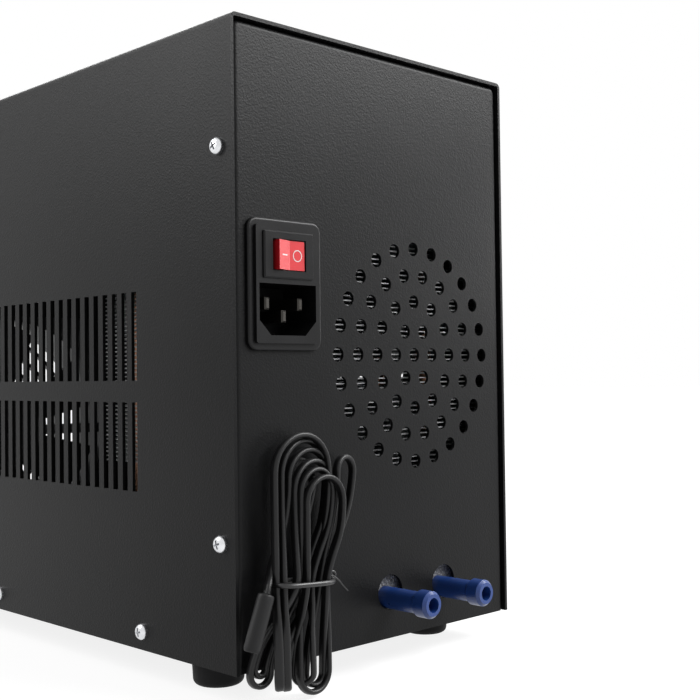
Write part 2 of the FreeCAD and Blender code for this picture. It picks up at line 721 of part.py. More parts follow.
def make_cover():
    body = new_piece("cover")
    sheet_t = S["cover_sheet"]
    bend = S["sheet_bend"]
    top = S["cabinet_height"]
    section = Loop([
        (half_width, 0),
        (half_width, top, bend),
        (-half_width, top, bend),
        (-half_width, 0),
        (sheet_t - half_width, 0),
        (sheet_t - half_width, top - sheet_t, bend - sheet_t),
        (half_width - sheet_t, top - sheet_t, bend - sheet_t),
        (half_width - sheet_t, 0),
    ])
    add(body, "folded_shell", "XZ", -S["cabinet_depth"], ZERO, [section])
    reach = S["slot_pitch"] * (S["slot_count"] - 1)
    first = mid_depth - reach / 2
    upper = S["slot_base"] + S["slot_height"] + S["slot_row_gap"]
    slots = [
        centred(first, base + S["slot_height"] / 2, S["slot_width"], S["slot_height"])
        for base in (S["slot_base"], upper)
    ]
    pair = cut(body, "slot_pair", "YZ", -half_width - 1, half_width + 1, slots)
    repeat_along(body, "slot_rows", pair, "Y", reach, S["slot_count"])
    hole = S["screw_radius"] + S["screw_play"]
    cut(body, "screw_holes", "YZ", -half_width - 1, half_width + 1,
        [Ring(y, z, hole) for y, z in screw_spots()])
    place(body)


def make_cover_screws():
    pattern = screw_pattern("cover_screw_pattern", S["screw_radius"], S["screw_length"],
                            S["screw_head_radius"], S["screw_head_height"])
    spots = [((half_width, y, z), TO_PLUS_X) for y, z in screw_spots()]
    spots += [((-half_width, y, z), TO_MINUS_X) for y, z in screw_spots()]
    place(copies("cover_screws", pattern, spots))


def make_feet():
    names = ("foot_rear_left", "foot_rear_right", "foot_front_left", "foot_front_right")
    low = -S["foot_height"]
    radius = S["foot_radius"]
    for name, (x, y) in zip(names, foot_spots()):
        body = new_piece(name)
        outline = Loop([
            (S["foot_screw_radius"] + S["screw_play"], low + S["foot_screw_sink"]),
            (S["foot_screw_head"] + S["screw_play"], low + S["foot_screw_sink"]),
            (S["foot_screw_head"] + S["screw_play"], low),
            (radius - S["foot_taper"], low),
            (radius, 0),
            (S["foot_screw_radius"] + S["screw_play"], 0),
        ])
        turn(body, "blank", "XZ", [outline])
        rim = radius - S["foot_taper"]
        round_edges(body, "rim", S["foot_edge"],
                    lambda e: lies_on(e, "Z", low) and near(e.BoundBox.XMax, rim, 0.01))
        place(body, x, y)


def make_foot_screws():
    pattern = screw_pattern("foot_screw_pattern", S["foot_screw_radius"],
                            S["foot_height"] - S["foot_screw_sink"] + S["chassis_sheet"] + 3,
                            S["foot_screw_head"], S["foot_screw_sink"] / 2)
    level = S["foot_screw_sink"] - S["foot_height"]
    spots = [((x, y, level), DOWN) for x, y in foot_spots()]
    place(copies("foot_screws", pattern, spots))
    nut = new_piece("foot_nut_pattern", kept=False)
    side = S["foot_nut_radius"]
    across = side * math.sqrt(3) / 2
    hexagon = Loop([
        (side, 0),
        (side / 2, across),
        (-side / 2, across),
        (-side, 0),
        (-side / 2, -across),
        (side / 2, -across),
    ])
    bore = Ring(0, 0, S["foot_screw_radius"] + S["screw_play"] / 2)
    add(nut, "blank", "XY", 0, S["foot_screw_radius"] * 1.2, [hexagon, bore])
    spots = [((x, y, floor_inside), UP) for x, y in foot_spots()]
    place(copies("foot_nuts", nut, spots))


# Power inlet

inlet_front = rear_face + S["inlet_proud"]
inlet_back = rear_inside - S["inlet_depth"]
socket_level = S["inlet_level"] - S["socket_drop"]
socket_floor = inlet_front - S["socket_depth"]
switch_level = S["inlet_level"] + S["switch_rise"]
switch_face = inlet_front + S["bezel_thick"]
pivot_y = switch_face - S["rocker_sink"]
well_half_width = S["rocker_half_width"] + S["rocker_play"] + 0.5
well_half_height = S["rocker_height"] / 2 + S["rocker_play"]


def pin_spots():
    half = S["pin_spacing"] / 2
    upper = socket_level + S["pin_row_step"] / 2
    lower = socket_level - S["pin_row_step"] / 2
    return [(S["inlet_offset"] - half, upper), (S["inlet_offset"] + half, upper),
            (S["inlet_offset"], lower)]


def make_inlet_housing():
    body = new_piece("inlet_housing")
    x = S["inlet_offset"]
    z = S["inlet_level"]
    flange_front = rear_face + S["inlet_flange_thick"]
    flange = centred(x, z, S["inlet_flange_width"], S["inlet_flange_height"],
                     S["inlet_flange_corner"])
    add(body, "flange", "XZ", rear_face, flange_front, [flange])
    round_edges(body, "flange_edge", S["inlet_flange_thick"] * 0.55,
                lambda e: lies_on(e, "Y", flange_front))
    block = centred(x, z, S["inlet_width"], S["inlet_height"], S["inlet_corner"])
    add(body, "block", "XZ", inlet_back, inlet_front, [block])
    half_w = S["socket_width"] / 2
    half_h = S["socket_height"] / 2
    cut_corner = S["socket_chamfer"]
    recess = Loop([
        (x - half_w, socket_level + half_h),
        (x - half_w, socket_level - half_h + cut_corner),
        (x - half_w + cut_corner, socket_level - half_h),
        (x + half_w - cut_corner, socket_level - half_h),
        (x + half_w, socket_level - half_h + cut_corner),
        (x + half_w, socket_level + half_h),
    ])
    cut(body, "socket", "XZ", socket_floor, inlet_front + 1, [recess])
    well = centred(x, switch_level, S["switch_width"], S["switch_height"])
    cut(body, "switch_well", "XZ", inlet_back - 1, inlet_front + 1, [well])
    slots = [centred(px, pz, S["pin_width"], S["pin_height"]) for px, pz in pin_spots()]
    cut(body, "pin_slots", "XZ", inlet_back - 1, socket_floor + 1, slots)
    place(body)


def make_inlet_pins():
    body = new_piece("inlet_pins")
    blades = [centred(x, z, S["pin_width"], S["pin_height"]) for x, z in pin_spots()]
    tip = socket_floor + S["pin_reach"]
    add(body, "blades", "XZ", inlet_back - S["pin_tail"], tip, blades)
    round_edges(body, "lead_in", S["pin_width"] / 4, lambda e: lies_on(e, "Y", tip),
                "PartDesign::Chamfer")
    place(body)


def make_switch():
    bezel = new_piece("switch_bezel")
    x = S["inlet_offset"]
    outer = centred(x, switch_level, S["bezel_width"], S["bezel_height"], S["inlet_corner"] / 2)
    add(bezel, "flange", "XZ", inlet_front, switch_face, [outer])
    round_edges(bezel, "flange_edge", S["bezel_thick"] / 2,
                lambda e: lies_on(e, "Y", switch_face), "PartDesign::Chamfer")
    shell = centred(x, switch_level, S["switch_width"], S["switch_height"])
    add(bezel, "shell", "XZ", inlet_front - S["switch_depth"], inlet_front, [shell])
    well = centred(x, switch_level, well_half_width * 2, well_half_height * 2)
    cut(bezel, "rocker_well", "XZ", pivot_y - S["rocker_rise"] * 1.5, switch_face + 1, [well])
    bore = Ring(x, pivot_y, S["trunnion_radius"] + S["trunnion_play"])
    reach = well_half_height + 1
    cut(bezel, "pivot_bores", "XY", switch_level - reach, switch_level + reach, [bore])
    tabs = [centred(x + S["switch_width"] / 4 * side, switch_level, 0.8, 6.3) for side in (-1, 1)]
    add(bezel, "terminals", "XZ", inlet_front - S["switch_depth"] - S["pin_tail"],
        inlet_front - S["switch_depth"], tabs)
    place(bezel)

    rocker = new_piece("switch_rocker")
    half = S["rocker_half_width"]
    rise = S["rocker_rise"]
    dip = half * math.tan(math.radians(S["rocker_angle"].value))
    profile = Loop([
        (-half, rise),
        (-half * 0.92, rise * 0.1),
        (-half * 0.5, -rise * 0.5),
        (half * 0.5, -rise * 0.5),
        (half * 0.92, rise * 0.1),
        (half, rise),
        (0, rise - dip),
    ])
    half_height = S["rocker_height"] / 2
    add(rocker, "key", "XY", -half_height, half_height, [profile])
    stub = half_height + S["rocker_play"] + 0.6
    add(rocker, "trunnions", "XY", -stub, stub, [Ring(0, 0, S["trunnion_radius"])])
    tilt = Rotation(Vector(0, 0, 1), S["rocker_angle"].value)
    place(rocker, x, pivot_y, switch_level, tilt)


# Water circuit

def make_stubs():
    seat = block_rear
    shoulder = seat + S["stub_nut_length"]
    for name, side in (("outlet_stub", 1), ("inlet_stub", -1)):
        body = new_piece(name)
        bore = S["stub_bore_radius"]
        collar = port_end - S["stub_collar_length"]
        outline = Loop([
            (bore, seat - S["stub_thread_length"]),
            (S["stub_thread_radius"], seat - S["stub_thread_length"]),
            (S["stub_thread_radius"], seat),
            (S["stub_nut_radius"], seat),
            (S["stub_nut_radius"], shoulder),
            (S["stub_radius"], shoulder),
            (S["stub_radius"], collar - 0.9),
            (S["stub_collar_radius"], collar),
            (S["stub_collar_radius"], port_end - 1.1),
            (S["stub_collar_radius"] - 0.9, port_end),
            (bore, port_end),
        ])
        turn(body, "blank", "XY", [outline])
        place(body, port_x(side), 0, S["port_level"])


def make_stub_seals():
    ring = new_piece("seal_pattern", kept=False)
    inner = Ring(0, 0, S["stub_radius"])
    outer = Ring(0, 0, S["stub_nut_radius"])
    add(ring, "blank", "XZ", 0, S["stub_seal_thick"], [outer, inner])
    level = block_rear + S["stub_nut_length"]
    spots = [((port_x(side), level, S["port_level"]), UP) for side in (-1, 1)]
    place(copies("stub_seals", ring, spots))


def make_water_block():
    body = new_piece("water_block")
    half = S["block_width"] / 2
    front = block_rear - S["block_length"]
    add(body, "blank", "XY", block_bottom, block_top,
        [rectangle(core_x - half, front, core_x + half, block_rear)])
    threads = [Ring(port_x(side), S["port_level"], S["stub_thread_radius"]) for side in (-1, 1)]
    cut(body, "ports", "XZ", block_rear - S["stub_thread_length"], block_rear + 1, threads)
    channels = [Ring(port_x(side), S["port_level"], S["block_channel_radius"]) for side in (-1, 1)]
    turn_back = front + S["block_channel_radius"] * 4
    cut(body, "channels", "XZ", turn_back, block_rear, channels)
    link = Ring(turn_back, S["port_level"], S["block_channel_radius"])
    cut(body, "link_channel", "YZ", port_x(-1), port_x(1), [link])
    clamp = S["clamp_radius"]
    cut(body, "clamp_holes", "XY", block_top - 8, block_top + 1,
        [Ring(x, y, clamp) for x, y in clamp_spots()])
    place(body)


def make_foam():
    body = new_piece("foam_cladding")
    wrap = S["foam_thick"]
    half = S["block_width"] / 2
    front = block_rear - S["block_length"]
    rear = rear_inside - S["foam_gap"]
    outer = rectangle(core_x - half - wrap, front - wrap, core_x + half + wrap, rear, 2)
    top = sink_base_bottom - S["foam_play"]
    add(body, "blank", "XY", floor_inside, top, [outer])
    well = rectangle(core_x - half, front, core_x + half, block_rear)
    cut(body, "well", "XY", block_bottom, top + 1, [well])
    necks = [Ring(port_x(side), S["port_level"], S["stub_radius"] + 0.1) for side in (-1, 1)]
    cut(body, "stub_holes", "XZ", block_rear - 1, rear + 1, necks)
    nuts = [Ring(port_x(side), S["port_level"], S["stub_nut_radius"]) for side in (-1, 1)]
    room = block_rear + S["stub_nut_length"] + S["stub_seal_thick"]
    cut(body, "stub_shoulders", "XZ", block_rear - 1, room, nuts)
    place(body)


# Thermoelectric core

def clamp_spots():
    x = S["block_width"] / 2 - S["clamp_inset"]
    y = S["sink_base_length"] / 2 - S["clamp_inset"]
    return [(core_x + x * a, centre + y * b)
            for centre in sink_centres for a in (-1, 1) for b in (-1, 1)]


def make_modules():
    body = new_piece("thermoelectric_modules")
    side = S["module_side"]
    squares = [centred(core_x, centre, side, side) for centre in sink_centres]
    add(body, "tiles", "XY", block_top, sink_base_bottom, squares)
    place(body)


def make_sink(name, centre, fin_centre):
    base = new_piece(f"sink_base_{name}")
    outline = centred(core_x, centre, S["block_width"], S["sink_base_length"])
    add(base, "blank", "XY", sink_base_bottom, sink_base_top, [outline])
    rows = [centre + S["pipe_spacing"] / 2 * side for side in (-1, 1)]
    half = S["block_width"] / 2
    cut(base, "pipe_bores", "YZ", core_x - half - 1, core_x + half + 1,
        [Ring(y, pipe_level, S["pipe_radius"]) for y in rows])
    holes = [Ring(core_x + (half - S["clamp_inset"]) * a,
                  centre + (S["sink_base_length"] / 2 - S["clamp_inset"]) * b,
                  S["clamp_radius"] + S["screw_play"]) for a in (-1, 1) for b in (-1, 1)]
    cut(base, "clamp_holes", "XY", sink_base_bottom - 1, sink_base_top + 1, holes)
    place(base)

    pipes = new_piece(f"heat_pipes_{name}")
    leg = S["pipe_spread"] / 2
    bend = S["pipe_bend"]
    top = fin_top + S["pipe_top"]
    for number, row in enumerate(rows, 1):
        path = draw(pipes, f"path{number}", "XZ", row, [])
        run_pipe_path(path, leg, bend, top)
        start = draw(pipes, f"section{number}", "XY", top,
                     [Ring(core_x - leg, row, S["pipe_radius"])])
        pipe = pipes.newObject("PartDesign::AdditivePipe", f"pipe{number}")
        pipe.Profile = start
        pipe.Spine = path
    place(pipes)

    fins = new_piece(f"fins_{name}")
    plate = centred(core_x, fin_centre, S["fin_width"], S["fin_length"])
    first = add(fins, "fin", "XY", S["fin_base"], S["fin_base"] + S["fin_thick"], [plate])
    repeat_along(fins, "stack", first, "Z", S["fin_step"] * (S["fin_count"] - 1), S["fin_count"])
    place(fins)


def run_pipe_path(sketch, leg, bend, top):
    """Down one leg, round a bend, across the base, round a bend and up the other leg."""
    left = core_x - leg
    right = core_x + leg
    stops = [
        (left, top),
        (left, pipe_level + bend),
        (left + bend, pipe_level),
        (right - bend, pipe_level),
        (right, pipe_level + bend),
        (right, top),
    ]
    points = [Vector(x.value, z.value, 0) for x, z in stops]
    up = Vector(0, 0, 1)
    centres = [points[1] + Vector(bend.value, 0, 0), points[4] - Vector(bend.value, 0, 0)]
    arcs = [
        Part.ArcOfCircle(Part.Circle(centres[0], up, bend.value), math.pi, 1.5 * math.pi),
        Part.ArcOfCircle(Part.Circle(centres[1], up, bend.value), 1.5 * math.pi, 2 * math.pi),
    ]
    edges = [
        Part.LineSegment(points[0], points[1]),
        arcs[0],
        Part.LineSegment(points[2], points[3]),
        arcs[1],
        Part.LineSegment(points[4], points[5]),
    ]
    for index, edge in enumerate(edges):
        sketch.addGeometry(edge, False)
        if index in (1, 3):
            hold(sketch, Sketcher.Constraint("Radius", index, bend.value), bend)
        if index:
            sketch.addConstraint(Sketcher.Constraint("Coincident", index - 1, 2, index, 1))
        pin_point(sketch, index, 1, *stops[index])
    pin_point(sketch, len(edges) - 1, 2, *stops[-1])


def make_clamp_screws():
    pattern = screw_pattern("clamp_screw_pattern", S["clamp_radius"],
                            sink_base_top - block_top + 7, S["clamp_head_radius"],
                            S["clamp_head_height"])
    spots = [((x, y, sink_base_top), UP) for x, y in clamp_spots()]
    place(copies("clamp_screws", pattern, spots))


# Fan: drawn with its axis along +Z and its front face at zero, then turned to face -Y.

def make_fan():
    frame = new_piece("fan_frame")
    thick = S["fan_thick"]
    square = centred(0, 0, S["fan_side"], S["fan_side"], S["fan_corner"])
    half = S["fan_hole_pitch"] / 2
    fixings = [Ring(half * a, half * b, S["fan_screw_radius"] + S["screw_play"])
               for a in (-1, 1) for b in (-1, 1)]
    add(frame, "rim", "XY", 0, thick, [square, Ring(0, 0, S["fan_bore_radius"])] + fixings)
    plate = thick - S["fan_hub_plate"]
    reach = S["fan_bore_radius"] + 0.8
    strut = S["fan_strut_width"] / 2
    add(frame, "motor_plate", "XY", plate, thick, [Ring(0, 0, S["fan_hub_radius"])])
    bars = [(reach, strut), (strut, reach)]
    for number, (x, y) in enumerate(bars, 1):
        add(frame, f"struts{number}", "XY", plate, thick, [rectangle(-x, -y, x, y)])
    cut(frame, "bearing", "XY", plate - 1, thick + 1,
        [Ring(0, 0, S["fan_shaft_radius"] + S["fan_shaft_play"])])
    place(frame, 0, front_inside, S["fan_level"], TO_MINUS_Y_BACK)

    rotor = new_piece("fan_rotor")
    low = length(2)
    high = plate - S["fan_running_gap"]
    middle = (low + high) / 2
    nose = 1.5
    hub = Loop([
        (0, low),
        (S["fan_hub_radius"] - nose, low),
        (S["fan_hub_radius"], low + nose),
        (S["fan_hub_radius"], high),
        (0, high),
    ])
    turn(rotor, "hub", "XZ", [hub])
    reach = (high - low) / 2 - nose - S["fan_blade_thick"]
    root = S["fan_hub_radius"] - 4
    tip = S["fan_blade_radius"] + 4
    sections = [
        draw(rotor, "blade_root", "YZ", root, [blade_section(middle, reach * 1.05, reach)]),
        draw(rotor, "blade_tip", "YZ", tip, [blade_section(middle, reach * 2.5, reach)]),
    ]
    blade = rotor.newObject("PartDesign::AdditiveLoft", "blade")
    blade.Profile = sections[0]
    blade.Sections = [sections[1]]
    blade.Ruled = True
    ring = rotor.newObject("PartDesign::PolarPattern", "blades")
    ring.Originals = [blade]
    ring.Axis = (origin_feature(rotor, "Z_Axis"), [""])
    ring.Angle = 360.0
    ring.setExpression("Occurrences", S["fan_blade_count"].text)
    rotor.Tip = ring
    cut(rotor, "tip_circle", "XY", low - 5, high + 5,
        [Ring(0, 0, S["fan_blade_radius"] * 1.6), Ring(0, 0, S["fan_blade_radius"])])
    add(rotor, "shaft", "XY", high, thick - 0.5, [Ring(0, 0, S["fan_shaft_radius"])])
    place(rotor, 0, front_inside, S["fan_level"], TO_MINUS_Y_BACK)


def blade_section(middle, half_chord, half_rise):
    """A thin sloping strip, seen along the blade."""
    half = S["fan_blade_thick"] / 2
    return Loop([
        (-half_chord, middle - half_rise - half),
        (half_chord, middle + half_rise - half),
        (half_chord, middle + half_rise + half),
        (-half_chord, middle - half_rise + half),
    ])


# The fan's own +Z runs towards the cabinet's +Y, into the cabinet.
TO_MINUS_Y_BACK = Rotation(Vector(1, 0, 0), -90)


def make_guard():
    body = new_piece("finger_guard")
    square = centred(0, 0, S["fan_side"], S["fan_side"], S["fan_corner"])
    fixings = [Ring(S["fan_hole_pitch"] / 2 * a, S["fan_hole_pitch"] / 2 * b,
                    S["fan_screw_radius"] + S["screw_play"]) for a in (-1, 1) for b in (-1, 1)]
    add(body, "rim", "XY", 0, S["guard_thick"], [square, Ring(0, 0, S["fan_bore_radius"])] + fixings)
    reach = S["fan_bore_radius"] + 0.8
    half = S["guard_spoke_width"] / 2
    for number, (x, y) in enumerate([(reach, half), (half, reach)], 1):
        add(body, f"spokes{number}", "XY", 0, S["guard_thick"], [rectangle(-x, -y, x, y)])
    rings = []
    for number in range(int(S["guard_ring_count"].value)):
        radius = S["fan_bore_radius"] - S["guard_first_ring"] - S["guard_ring_pitch"] * number
        rings += [Ring(0, 0, radius), Ring(0, 0, radius - S["guard_ring_width"])]
    add(body, "rings", "XY", 0, S["guard_thick"], rings)
    sinks = [Ring(r.centre_x, r.centre_y, S["fan_screw_head"] + S["screw_play"]) for r in fixings]
    cut(body, "screw_pockets", "XY", -1, S["guard_thick"] - 0.8, sinks)
    place(body, 0, guard_face, S["fan_level"], TO_MINUS_Y_BACK)


def make_fan_screws():
    under = S["chassis_sheet"] + S["fan_thick"] * 0.6 + 0.8
    pattern = screw_pattern("fan_screw_pattern", S["fan_screw_radius"], under,
                            S["fan_screw_head"], S["guard_thick"] - 0.8)
    half = S["fan_hole_pitch"] / 2
    level = front_face - 0.8
    spots = [((half * a, level, S["fan_level"] + half * b), TO_MINUS_Y)
             for a in (-1, 1) for b in (-1, 1)]
    place(copies("fan_screws", pattern, spots))


# Shelf and power supply

supply_front = front_face + S["supply_setback"]
supply_rear = supply_front + S["supply_length"]
shelf_top = S["shelf_level"] + S["chassis_sheet"]


def supply_screw_spots():
    half = S["supply_width"] * 0.4
    inset = S["supply_screw_inset"]
    return [(half * side, y) for side in (-1, 1) for y in (supply_front + inset, supply_rear - inset)]


def make_shelf():
    body = new_piece("shelf")
    sheet_t = S["chassis_sheet"]
    low = S["shelf_level"]
    high = low + S["shelf_lip"]
    bend = S["sheet_bend"]
    section = Loop([
        (rear_inside, high),
        (rear_inside, low, bend),
        (front_inside, low, bend),
        (front_inside, high - S["shelf_lip"] / 2),
        (front_inside + sheet_t, high - S["shelf_lip"] / 2),
        (front_inside + sheet_t, low + sheet_t, bend - sheet_t),
        (rear_inside - sheet_t, low + sheet_t, bend - sheet_t),
        (rear_inside - sheet_t, high),
    ])
    half = S["shelf_width"] / 2
    add(body, "folded_strip", "YZ", -half, half, [section])
    slot = centred(0, front_inside + S["supply_setback"] / 2, S["shelf_width"] / 2,
                   S["cable_slot_width"], S["cable_slot_width"] * 0.4)
    hole = S["supply_screw_radius"] + S["screw_play"]
    holes = [Ring(x, y, hole) for x, y in supply_screw_spots()]
    cut(body, "cable_slot_and_screw_holes", "XY", low - 1, low + sheet_t + 1, [slot] + holes)
    place(body)




def make_supply():
    body = new_piece("power_supply")
    half = S["supply_width"] / 2
    top = shelf_top + S["supply_height"]
    add(body, "case", "XY", shelf_top, top, [rectangle(-half, supply_front, half, supply_rear)])
    step = rectangle(-half - 1, supply_front - 1, half + 1, supply_front + S["terminal_length"])
    cut(body, "terminal_step", "XY", shelf_top + 3, top + 1, [step])
    holes = [centred(0, supply_rear - 30 - 10 * i, S["supply_width"] * 0.6, 4, 1.9) for i in range(4)]
    cut(body, "case_slots", "XY", top - 1, top + 1, holes)
    threads = [Ring(x, y, S["supply_screw_radius"]) for x, y in supply_screw_spots()]
    cut(body, "screw_threads", "XY", shelf_top - 1, shelf_top + S["supply_screw_grip"] + 0.5, threads)
    place(body)

    pattern = screw_pattern("supply_screw_pattern", S["supply_screw_radius"],
                            S["chassis_sheet"] + S["supply_screw_grip"], S["supply_screw_head"],
                            S["supply_screw_head"] * 0.6)
    spots = [((x, y, S["shelf_level"]), DOWN) for x, y in supply_screw_spots()]
    place(copies("supply_screws", pattern, spots))

    block = new_piece("terminal_block")
    width = S["supply_width"] * 0.8
    back = supply_front + S["terminal_length"] - 0.3
    add(block, "blank", "XY", shelf_top + 3, shelf_top + 3 + S["terminal_height"],
        [rectangle(-width / 2, supply_front + 1, width / 2, back)])
    count = S["terminal_count"]
    pitch = width / count
    first = centred(-width / 2 + pitch / 2, supply_front + S["terminal_length"] / 2,
                    pitch * 0.8, S["terminal_length"])
    pocket = cut(block, "way", "XY", shelf_top + 3 + S["terminal_height"] / 2,
                 shelf_top + 4 + S["terminal_height"], [first])
    repeat_along(block, "ways", pocket, "X", pitch * (count - 1), count)
    place(block)


# Controls on the front panel

bezel_face = front_face - S["bezel_panel_thick"]
window_x = -S["window_offset"]
board_face = front_inside + S["bezel_panel_depth"]


def button_spots():
    return [S["button_offset"] + S["button_pitch"] * step for step in (-1, 0, 1)]


def make_control_bezel():
    body = new_piece("control_bezel")
    z = S["bezel_panel_level"]
    outer = centred(0, z, S["bezel_panel_width"], S["bezel_panel_height"], S["bezel_panel_corner"])
    add(body, "flange", "XZ", bezel_face, front_face, [outer])
    round_edges(body, "flange_edge", S["bezel_panel_thick"] / 2, lambda e: lies_on(e, "Y", bezel_face))
    lip = S["bezel_lip"] + S["inlet_play"]
    skirt_w = S["bezel_panel_width"] - lip * 2
    skirt_h = S["bezel_panel_height"] - lip * 2
    wall = S["bezel_panel_wall"]
    corner = S["bezel_panel_corner"] / 2
    skirt = [centred(0, z, skirt_w, skirt_h, corner), centred(0, z, skirt_w - wall * 2, skirt_h - wall * 2)]
    add(body, "skirt", "XZ", front_face, board_face, skirt)
    seat = S["window_seat"]
    opening = centred(window_x, z, S["window_width"], S["window_height"], 1)
    cut(body, "window_recess", "XZ", bezel_face - 1, bezel_face + S["window_thick"] - 0.6, [opening])
    sight = centred(window_x, z, S["window_width"] - seat * 2, S["window_height"] - seat * 2)
    holes = [sight] + [Ring(x, z, S["button_radius"] + S["button_play"]) for x in button_spots()]
    cut(body, "sight_and_button_holes", "XZ", bezel_face - 1, front_face + 1, holes)
    place(body)


def make_window():
    body = new_piece("display_window")
    pane = centred(window_x, S["bezel_panel_level"], S["window_width"] - 0.2,
                   S["window_height"] - 0.2, 0.9)
    back = bezel_face + S["window_thick"] - 0.6
    add(body, "pane", "XZ", back - S["window_thick"] + 0.6, back, [pane])
    place(body)


def make_buttons():
    for name, x in zip(("button_down", "button_set", "button_up"), button_spots()):
        body = new_piece(name)
        face = -S["button_proud"]
        back = S["bezel_panel_thick"] + S["button_play"]
        rim = back + S["button_rim_thick"]
        end = rim + 2
        outline = Loop([
            (0, face),
            (S["button_radius"] - 0.6, face),
            (S["button_radius"], face + 0.6),
            (S["button_radius"], back),
            (S["button_radius"] + S["button_flange"], back),
            (S["button_radius"] + S["button_flange"], rim),
            (2, rim),
            (2, end),
            (0, end),
        ])
        turn(body, "cap", "XY", [outline])
        place(body, x, bezel_face, S["bezel_panel_level"])


def make_board():
    body = new_piece("control_board")
    z = S["bezel_panel_level"]
    lip = S["bezel_lip"] + S["inlet_play"]
    width = S["bezel_panel_width"] - lip * 2
    height = S["bezel_panel_height"] - lip * 2
    back = board_face + S["board_thick"]
    add(body, "board", "XZ", board_face, back, [centred(0, z, width, height)])
    parts = [
        ("relay", -28, 6, 19, 15, 15),
        ("capacitor", 2, 8, 10, 10, 12),
        ("converter", 2, -8, 14, 12, 10),
        ("plug_header", 30, -12, 22, 6, 9),
        ("sensor_header", 30, 10, 10, 6, 7),
    ]
    step = S["bezel_panel_width"] / 100
    for name, *numbers in parts:
        x, dz, w, h, d = [step * number for number in numbers]
        add(body, name, "XZ", back, back + d, [centred(x, z + dz, w, h)])
    switch_back = bezel_face + S["bezel_panel_thick"] + S["button_play"] + S["button_rim_thick"] + 2
    front = switch_back + S["button_travel"] + 0.1
    keys = [centred(x, z, step * 6, step * 6) for x in button_spots()]
    add(body, "key_switches", "XZ", front, board_face, keys)
    place(body)

    display = new_piece("digit_display")
    seat = S["window_seat"] + 0.3
    w = S["window_width"] - seat * 2
    h = S["window_height"] - seat * 2
    add(display, "block", "XZ", board_face - S["display_depth"], board_face,
        [centred(window_x, z, w, h)])
    place(display)


# Probe cord, kept plain: stub of cord, tied hank, tail, probe, tie and grommet

# The hank's shape, in steps of this length, from the level of the cabinet's bottom and, along X,
# from where the cord leaves.
hank_step = S["hank_height"] / 81.7

# Cross-sections of the hank: level, centre, width, thickness, and how much further than the
# least it stands off the panel.
HANK_SECTIONS = [
    (-9.2, 3.5, 14.0, 6.0, 4.4),
    (-5.0, 8.5, 29.0, 9.0, 4.0),
    (8.0, 7.9, 31.0, 9.0, 3.0),
    (28.5, 5.5, 19.6, 8.4, 2.0),
    (50.0, 0.8, 32.0, 9.0, 1.0),
    (62.0, -2.5, 36.0, 9.0, 0.6),
    (72.5, 4.0, 13.6, 6.0, 0.9),
]


def hank_section(numbers):
    """Level, centre, width, thickness and back face of one cross-section."""
    level, centre, width, thick, lean = [hank_step * number for number in numbers]
    return level, S["cord_exit_offset"] + centre, width, thick, rear_face + S["hank_standoff"] + lean


def make_grommet():
    body = new_piece("cord_grommet")
    bore = S["cord_diameter"] / 2
    neck = S["grommet_radius"]
    rim = S["grommet_flange_radius"]
    thick = S["grommet_flange_thick"]
    outline = Loop([
        (bore, rear_inside - thick),
        (rim - 0.6, rear_inside - thick),
        (rim, rear_inside),
        (neck, rear_inside),
        (neck, rear_face),
        (rim, rear_face),
        (rim - 0.6, rear_face + thick),
        (bore, rear_face + thick),
    ])
    turn(body, "blank", "XY", [outline])
    place(body, S["cord_exit_offset"], 0, S["cord_exit_level"])


def make_exit_lead():
    body = new_piece("cord_exit_lead")
    hole = Ring(S["cord_exit_offset"], S["cord_exit_level"], S["cord_diameter"] / 2)
    inside = rear_inside - 12
    add(body, "tube", "XZ", inside, rear_face + S["hank_standoff"] + 3, [hole])
    place(body)


def make_hank():
    body = new_piece("cord_hank")
    sections = []
    for number, row in enumerate(HANK_SECTIONS):
        z, x, width, thick, back = hank_section(row)
        outline = rectangle(x - width / 2, back, x + width / 2, back + thick, thick * 0.45)
        sections.append(draw(body, f"section{number}", "XY", z, [outline]))
    loft = body.newObject("PartDesign::AdditiveLoft", "outer_shape")
    loft.Profile = sections[0]
    loft.Sections = sections[1:]
    place(body)


def make_tie():
    body = new_piece("cord_tie")
    waist = min(HANK_SECTIONS[1:-1], key=lambda row: row[2])
    z, x, width, thick, back = hank_section(waist)
    half = width / 2
    wire = S["tie_thick"]
    play = S["tie_play"]
    corner = thick * 0.45 + play
    left = x - half - play
    right = x + half + play
    low = back - play
    high = back + thick + play
    inner = rectangle(left, low, right, high, corner)
    outer = rectangle(left - wire, low - wire, right + wire, high + wire, corner + wire)
    level = z - S["tie_height"] / 2
    add(body, "band", "XY", level, level + S["tie_height"], [outer, inner])
    place(body)


# The probe hangs in front of the hank's outer side; points in the hank's steps.
PROBE_TOP = Vector(21.6, 9.2, 26.0)
PROBE_FOOT = Vector(27.6, 10.2, 10.4)
TAIL_START = Vector(14.6, 7.4, 24.9)


def place_by_hank(body, point, rotation):
    x, y, z = [hank_step * number for number in point]
    place(body, S["cord_exit_offset"] + x, y, z, rotation)


def make_probe():
    body = new_piece("temperature_probe")
    radius = S["probe_radius"]
    outline = Loop([
        (0, 0),
        (radius - 0.5, 0),
        (radius, 0.5),
        (radius, S["probe_length"] - 0.5),
        (radius - 0.5, S["probe_length"]),
        (0, S["probe_length"]),
    ])
    turn(body, "case", "XZ", [outline])
    lean = Rotation(Vector(0, 0, 1), PROBE_FOOT - PROBE_TOP)
    place_by_hank(body, PROBE_TOP, lean)

    tail = new_piece("probe_lead")
    run = PROBE_TOP - TAIL_START
    add(tail, "tube", "XY", 0, hank_step * run.Length, [Ring(0, 0, S["cord_diameter"] / 2)])
    place_by_hank(tail, TAIL_START, Rotation(Vector(0, 0, 1), run))


